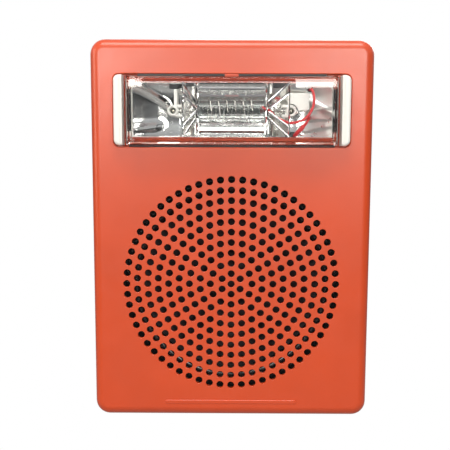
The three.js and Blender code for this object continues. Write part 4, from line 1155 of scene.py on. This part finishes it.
def yoke():
    low, high = box_mm("yoke")
    core = turned("yoke_fine", between(low.y, high.y, [(0, 0), (8.9, 0), (9.4, 0.5)], [
        (9.4, 3.5), (24.1, 3.5), (24.5, 3.1), (24.5, 1.2), (24.2, 0.5), (23.6, 0.15), (23.0, 0),
        (4.6, 0), (4.2, 0.6), (1.4, 0.9), (0, 1.0)]), AXIS, SIDES, False)
    stand_for(core, "yoke", ZINC, 30)


def pan_screw(node, material):
    """A pan head screw along Y with a cross recess and a threaded shank."""
    low, high, centre = centred(node)
    head = low.y + 1.6
    profile = [(0, low.y), (1.2, low.y + 0.03), (1.9, low.y + 0.2), (2.35, low.y + 0.55),
               (2.6, low.y + 1.1), (2.55, head), (1.05, head + 0.02)]
    profile += thread(head + 0.3, high.y - 1.6, 1.05, 1.25) + [(1.05, high.y - 1.3), (0, high.y)]
    screw = turned(node + "_fine", profile, centre, 28, False)
    cuts = []
    for wide, tall in ((2.8, 0.6), (0.6, 2.8)):
        cuts.append(block("cross", about(centre[0], wide / 2), (low.y - 1, low.y + 0.95),
                          about(centre[1], tall / 2), 0))
    combine(screw, cuts, "DIFFERENCE")
    stand_for(screw, node, material)


# ------------------------------------------------------------ board and rear

def flash_capacitor():
    low, high = box_mm("flash_capacitor")
    radius = (high.z - low.z) / 2
    middle = ((low.y + high.y) / 2, (low.z + high.z) / 2)
    can = turned("flash_capacitor_fine", between(low.x, high.x, [
        (0, 0.5), (3.4, 0.4), (3.6, 0), (4.5, 0.2), (4.9, 1.0), (radius, 1.5), (radius, 2.6),
        (radius - 0.45, 3.1), (radius, 3.6)], [
        (radius, 0.5), (radius - 0.5, 0), (4.2, 0), (4.0, 0.25), (0, 0.25)]), (0, 0), 64, False)
    along_x(can, middle)
    stand_for(can, "flash_capacitor", SHRINK)


def trigger_coil():
    low, high = box_mm("trigger_coil")
    middle = ((low.y + high.y) / 2, (low.z + high.z) / 2)
    spool = turned("trigger_coil_fine", reel(low.x, high.x, [
        (0, 0), (3.8, 0), (4, 0.2), (4, 1.2), (3.8, 1.4), (2.6, 1.4)]), (0, 0), 48, False)
    along_x(spool, middle)
    stand_for(spool, "trigger_coil", BLACK)
    winding = turned("trigger_coil_winding", reel(low.x, high.x, [
        (2.62, 1.45), (3.3, 1.6), (3.45, 2.4)]), (0, 0), 48)
    along_x(winding, middle)
    extra(winding, COPPER_X, 40)


def inductor():
    low, high, centre = centred("inductor")
    drum = turned("inductor_fine", between(low.y, high.y, [
        (0, 0), (5.3, 0), (5.6, 0.3), (5.6, 1.3), (5.3, 1.6), (4.2, 1.6)], [
        (4.2, 1.6), (5.3, 1.6), (5.6, 1.3), (5.6, 0.2), (5.4, 0), (0, 0)]), centre, 56, False)
    stand_for(drum, "inductor", FERRITE)
    winding = turned("inductor_winding", reel(low.y, high.y, [
        (4.22, 1.65), (5.0, 1.8), (5.1, 2.4)]), centre, 56)
    extra(winding, COPPER, 40)


def main_board():
    """The board with small resistors in front and solder joints behind."""
    stand_for(refined("main_board", 0.15, 2), "main_board", GREEN)
    small = []
    low, high = box_mm("main_board")
    for k in range(9):
        x, z = -14.0 + 4.2 * k, high.z - 5.0 + 1.4 * (k % 2)
        if 12 < x < 27:
            continue
        small.append(block("chip", about(x, 1.0), (low.y - 0.85, low.y - 0.05), about(z, 0.6), 0.12))
    extra(merged("board_resistors", small), BLACK)
    joints = []
    for k in range(14):
        x, z = -38.0 + 5.6 * k, low.z + 6.4 + 1.8 * (k % 3)
        joints.append(turned("solder", [(0, high.y + 0.9), (0.3, high.y + 0.8), (0.6, high.y + 0.35),
                                        (1.0, high.y + 0.06), (0, high.y + 0.06)], (x, z), 20, False))
    extra(merged("solder_joints", joints), SOLDER, 50, False)


def tap_selector():
    """The power tap: a knob with a grip and a slot, and ticks round it on the body."""
    low, high = box_mm("tap_selector_knob")
    centre = ((low.x + high.x) / 2, Z_GRILLE)
    face = high.y - 2.2
    knob = turned("tap_selector_knob_fine", [
        (0, low.y), (1.7, low.y), (1.9, low.y + 0.2), (1.9, face - 1.9), (3.9, face - 1.9),
        (4.2, face - 1.6), (4.2, face - 0.3), (3.9, face), (0, face)], centre, 48, False)
    grip = block("grip", about(centre[0], 1.2), (face - 0.6, high.y),
                 (Z_GRILLE - 3.7, Z_GRILLE + 4.0), 0.35)
    combine(knob, [grip], "UNION")
    slot = block("slot", about(centre[0], 0.3), (high.y - 0.6, high.y + 1),
                 (Z_GRILLE - 2.6, Z_GRILLE + 2.9), 0)
    combine(knob, [slot], "DIFFERENCE")
    stand_for(knob, "tap_selector_knob", CREAM)
    face = box_mm("tap_selector_body")[1].y
    ticks = []
    for k in range(5):
        turn = math.pi * k / 4
        x, z = centre[0] + 5.3 * math.sin(turn), Z_GRILLE + 5.3 * math.cos(turn)
        ticks.append(turned("tick", [(0, face + 0.2), (0.35, face + 0.15), (0.45, face - 0.2),
                                     (0, face - 0.2)], (x, z), 16, False))
    body = refined("tap_selector_body", 0.35, 2)
    combine(body, ticks, "UNION")
    stand_for(body, "tap_selector_body", BLACK)


def terminals():
    """The terminal block's slotted screws and their clamps."""
    for i in range(1, 5):
        low, high, centre = centred(f"terminal_screw_{i}")
        under = high.y - 1.8
        profile = [(0, low.y), (1.2, low.y), (1.6, low.y + 0.4)]
        profile += thread(low.y + 0.5, under - 0.7, 1.42, 1.6)
        profile += [(1.42, under), (2.2, under), (2.4, under + 0.2), (2.4, high.y - 0.5),
                    (2.2, high.y - 0.15), (1.8, high.y), (0, high.y)]
        screw = turned(f"terminal_screw_{i}_fine", profile, centre, 32, False)
        slot = block("slot", about(centre[0], 3), (high.y - 1.0, high.y + 1), about(centre[1], 0.4), 0)
        combine(screw, [slot], "DIFFERENCE")
        stand_for(screw, f"terminal_screw_{i}", ZINC)
        stand_for(refined(f"terminal_clamp_{i}", 0.15, 2), f"terminal_clamp_{i}", BRASS)


def lead(name, points, material):
    piece = sweep(name + "_fine", smooth_route(points, 90), 0.7, 16)
    stand_for(piece, name, material, 50, False)


def inner_leads():
    strip_low, strip_high = box_mm("speaker_terminal_strip")
    core_low, core_high = box_mm("transformer_core")
    block_low, block_high = box_mm("terminal_block")
    board_low, board_high = box_mm("main_board")
    y_plate = -2.5
    strip_rear = strip_high.y - 1.6
    lug_x = strip_low.x + 2.2
    z_core, core_rear = (core_low.z + core_high.z) / 2, y_plate - 0.3 - 3.0
    hole_x, hole_z = 27.0, (block_low.z + block_high.z) / 2
    for name, side, material in (("red", -1, SLEEVE_RED), ("black", 1, SLEEVE_BLACK)):
        off = side * 1.2
        end = core_low.x - 0.3 - 0.7 - 1
        lead("speaker_lead_" + name, [
            (lug_x, strip_rear + 1.9, Z_GRILLE + side * 4),
            (lug_x, strip_rear + 4.4 + off, Z_GRILLE + side * 4 - 1),
            (lug_x - 2 + off, y_plate - 4 + off, Z_GRILLE - 14),
            (-29 + off, y_plate - 3.4 + off, z_core + 14),
            (end - 1, y_plate - 4.6 + off, z_core + 5 + off),
            (end + 1.6, core_rear - 3 + off, z_core + 3 + off)], material)
        x = hole_x + 2 + off
        lead("board_lead_" + name, [
            (block_high.x + 0.3, 4.3, hole_z + off), (block_high.x + 3.5, 3.9, hole_z + off),
            (hole_x - 0.6 + 0.6 * off, 0.4, hole_z + 0.8 * off),
            (hole_x + 0.6 + 0.9 * off, y_plate - 2, hole_z + 1.4),
            (x - 0.4, y_plate - 3.6, board_low.z - 4), (x, y_plate - 3.4, board_low.z + 4),
            (x, board_high.y + 2, board_low.z + 7.6), (x, board_high.y + 0.6, board_low.z + 8)],
             material)


BOXY = {
    "mounting_plate": (CHASSIS, 0.3), "speaker_terminal_strip": (PHENOLIC, 0.15),
    "power_transistor": (BLACK, 0.25), "controller_chip": (BLACK, 0.12),
    "candela_switch_body": (BLACK, 0.3), "candela_switch_slider": (CREAM, 0.3),
    "terminal_block": (BLACK, 0.3), "transformer_core": (LAMINATION, 0.2),
    "transformer_winding": (TAPE, 0.8),
}


# ------------------------------------------------------------ camera, light, floor

CAMERA_PLACE = (-1.2, Y_FRONT - 300.7, Z_GRILLE + 61.1)
CAMERA_DOWN = 6.66
CAMERA_YAW = 0.30
CAMERA_ROLL = 0.2
CAMERA_LENS = 56.0
FLOOR_Z = -0.30
FLOOR_REACH = 4.0
SKY = ((0.0, 0.05), (0.50, 0.07), (0.55, 0.40), (0.59, 1.0), (0.8, 0.85), (1.0, 0.6))
SKY_STRENGTH = 0.56


def camera():
    data = bpy.data.cameras.new("camera")
    data.lens = CAMERA_LENS
    data.sensor_width = 36.0
    data.clip_start = 0.01
    view = bpy.data.objects.new("camera", data)
    view.location = [v * MM for v in CAMERA_PLACE]
    turn = (Matrix.Rotation(math.radians(CAMERA_YAW), 3, "Z")
            @ Matrix.Rotation(math.radians(90 - CAMERA_DOWN), 3, "X")
            @ Matrix.Rotation(math.radians(CAMERA_ROLL), 3, "Z"))
    view.rotation_euler = turn.to_euler()
    bpy.context.scene.collection.objects.link(view)
    bpy.context.scene.camera = view


def softbox(name, place, target, size, power, colour):
    data = bpy.data.lights.new(name, "AREA")
    data.shape = "RECTANGLE"
    data.size, data.size_y = size
    data.energy = power
    data.color = colour
    lamp = bpy.data.objects.new(name, data)
    lamp.location = place
    lamp.rotation_euler = (Vector(target) - Vector(place)).to_track_quat("-Z", "Y").to_euler()
    bpy.context.scene.collection.objects.link(lamp)


def sky(tree):
    """Light of a studio: a bright band above the horizon in front, and little below it."""
    place = add_node(tree, "TexCoord", {}, "Generated")
    height = add_node(tree, "SeparateXYZ", {"Vector": place}, "Z")
    share = add_node(tree, "MapRange", {"Value": height, "From Min": -1.0}, "Result")
    return add_ramp(tree, share, [(stop, (tone, tone, tone)) for stop, tone in SKY])


def studio():
    scene = bpy.context.scene
    scene.view_settings.view_transform = "Standard"
    scene.view_settings.look = "None"
    world = bpy.data.worlds.new("studio")
    world.use_nodes = True
    tree = world.node_tree
    background = tree.nodes["Background"]
    tree.links.new(sky(tree), background.inputs["Color"])
    background.inputs["Strength"].default_value = SKY_STRENGTH
    white = add_node(tree, "Background", {"Color": (1.0, 1.0, 1.0), "Strength": 1.0})
    by_ray(tree, "Is Camera Ray", background.outputs["Background"], white, "World Output")
    scene.world = world
    front, warm = (0.0, -0.03, 0.0), (1.0, 0.97, 0.91)
    softbox("key", (0.0, -0.45, 0.98), front, (0.8, 0.4), 7.6, (1.0, 0.96, 0.90))
    softbox("left", (-0.38, -1.10, 0.25), front, (0.44, 0.20), 4.0, warm)
    softbox("right", (0.34, -1.12, 0.25), front, (0.44, 0.20), 4.0, warm)
    softbox("side", (-0.95, -0.30, 0.25), front, (0.3, 0.6), 2.2, (1.0, 0.90, 0.76))
    softbox("rear", (0.3, 0.9, 0.6), (0.0, 0.0, 0.0), (0.9, 0.7), 8.0, (1.0, 1.0, 1.0))


def floor():
    corners = ((-1, -1), (1, -1), (1, 1), (-1, 1))
    mesh = bpy.data.meshes.new("floor")
    mesh.from_pydata([(FLOOR_REACH * x, FLOOR_REACH * y, FLOOR_Z) for x, y in corners], [],
                     [(0, 1, 2, 3)])
    ground = bpy.data.objects.new("floor", mesh)
    bpy.context.scene.collection.objects.link(ground)
    n = Nodes("floor", Base_Color=(0.22, 0.22, 0.22, 1.0), Roughness=0.9)
    glow = n.add("Emission", {"Color": (1.0, 1.0, 1.0)})
    by_ray(n.tree, "Is Camera Ray", n.shader.outputs["BSDF"], glow, "Material Output")
    mesh.materials.append(n.material)


# ------------------------------------------------------------ assembly

for build in (camera, studio, floor, front_cover, lens_clips, lens_gap_painted_shade, strobe_tray, strobe_lens,
              reflector, reflector_rims, tube_terminals, flash_tube, strobe_leads, strobe_details,
              speaker_basket, speaker_gasket, surround, cone, dust_cap, spider, voice_coil_and_magnet,
              yoke):
    build()
for number in range(1, 5):
    pan_screw(f"speaker_screw_{number}", ZINC)
    pan_screw(f"board_screw_{number}", ZINC)
for build in (flash_capacitor, trigger_coil, inductor, main_board, tap_selector, terminals,
              inner_leads):
    build()
for boxy, (look, edge) in BOXY.items():
    stand_for(refined(boxy, edge), boxy, look)
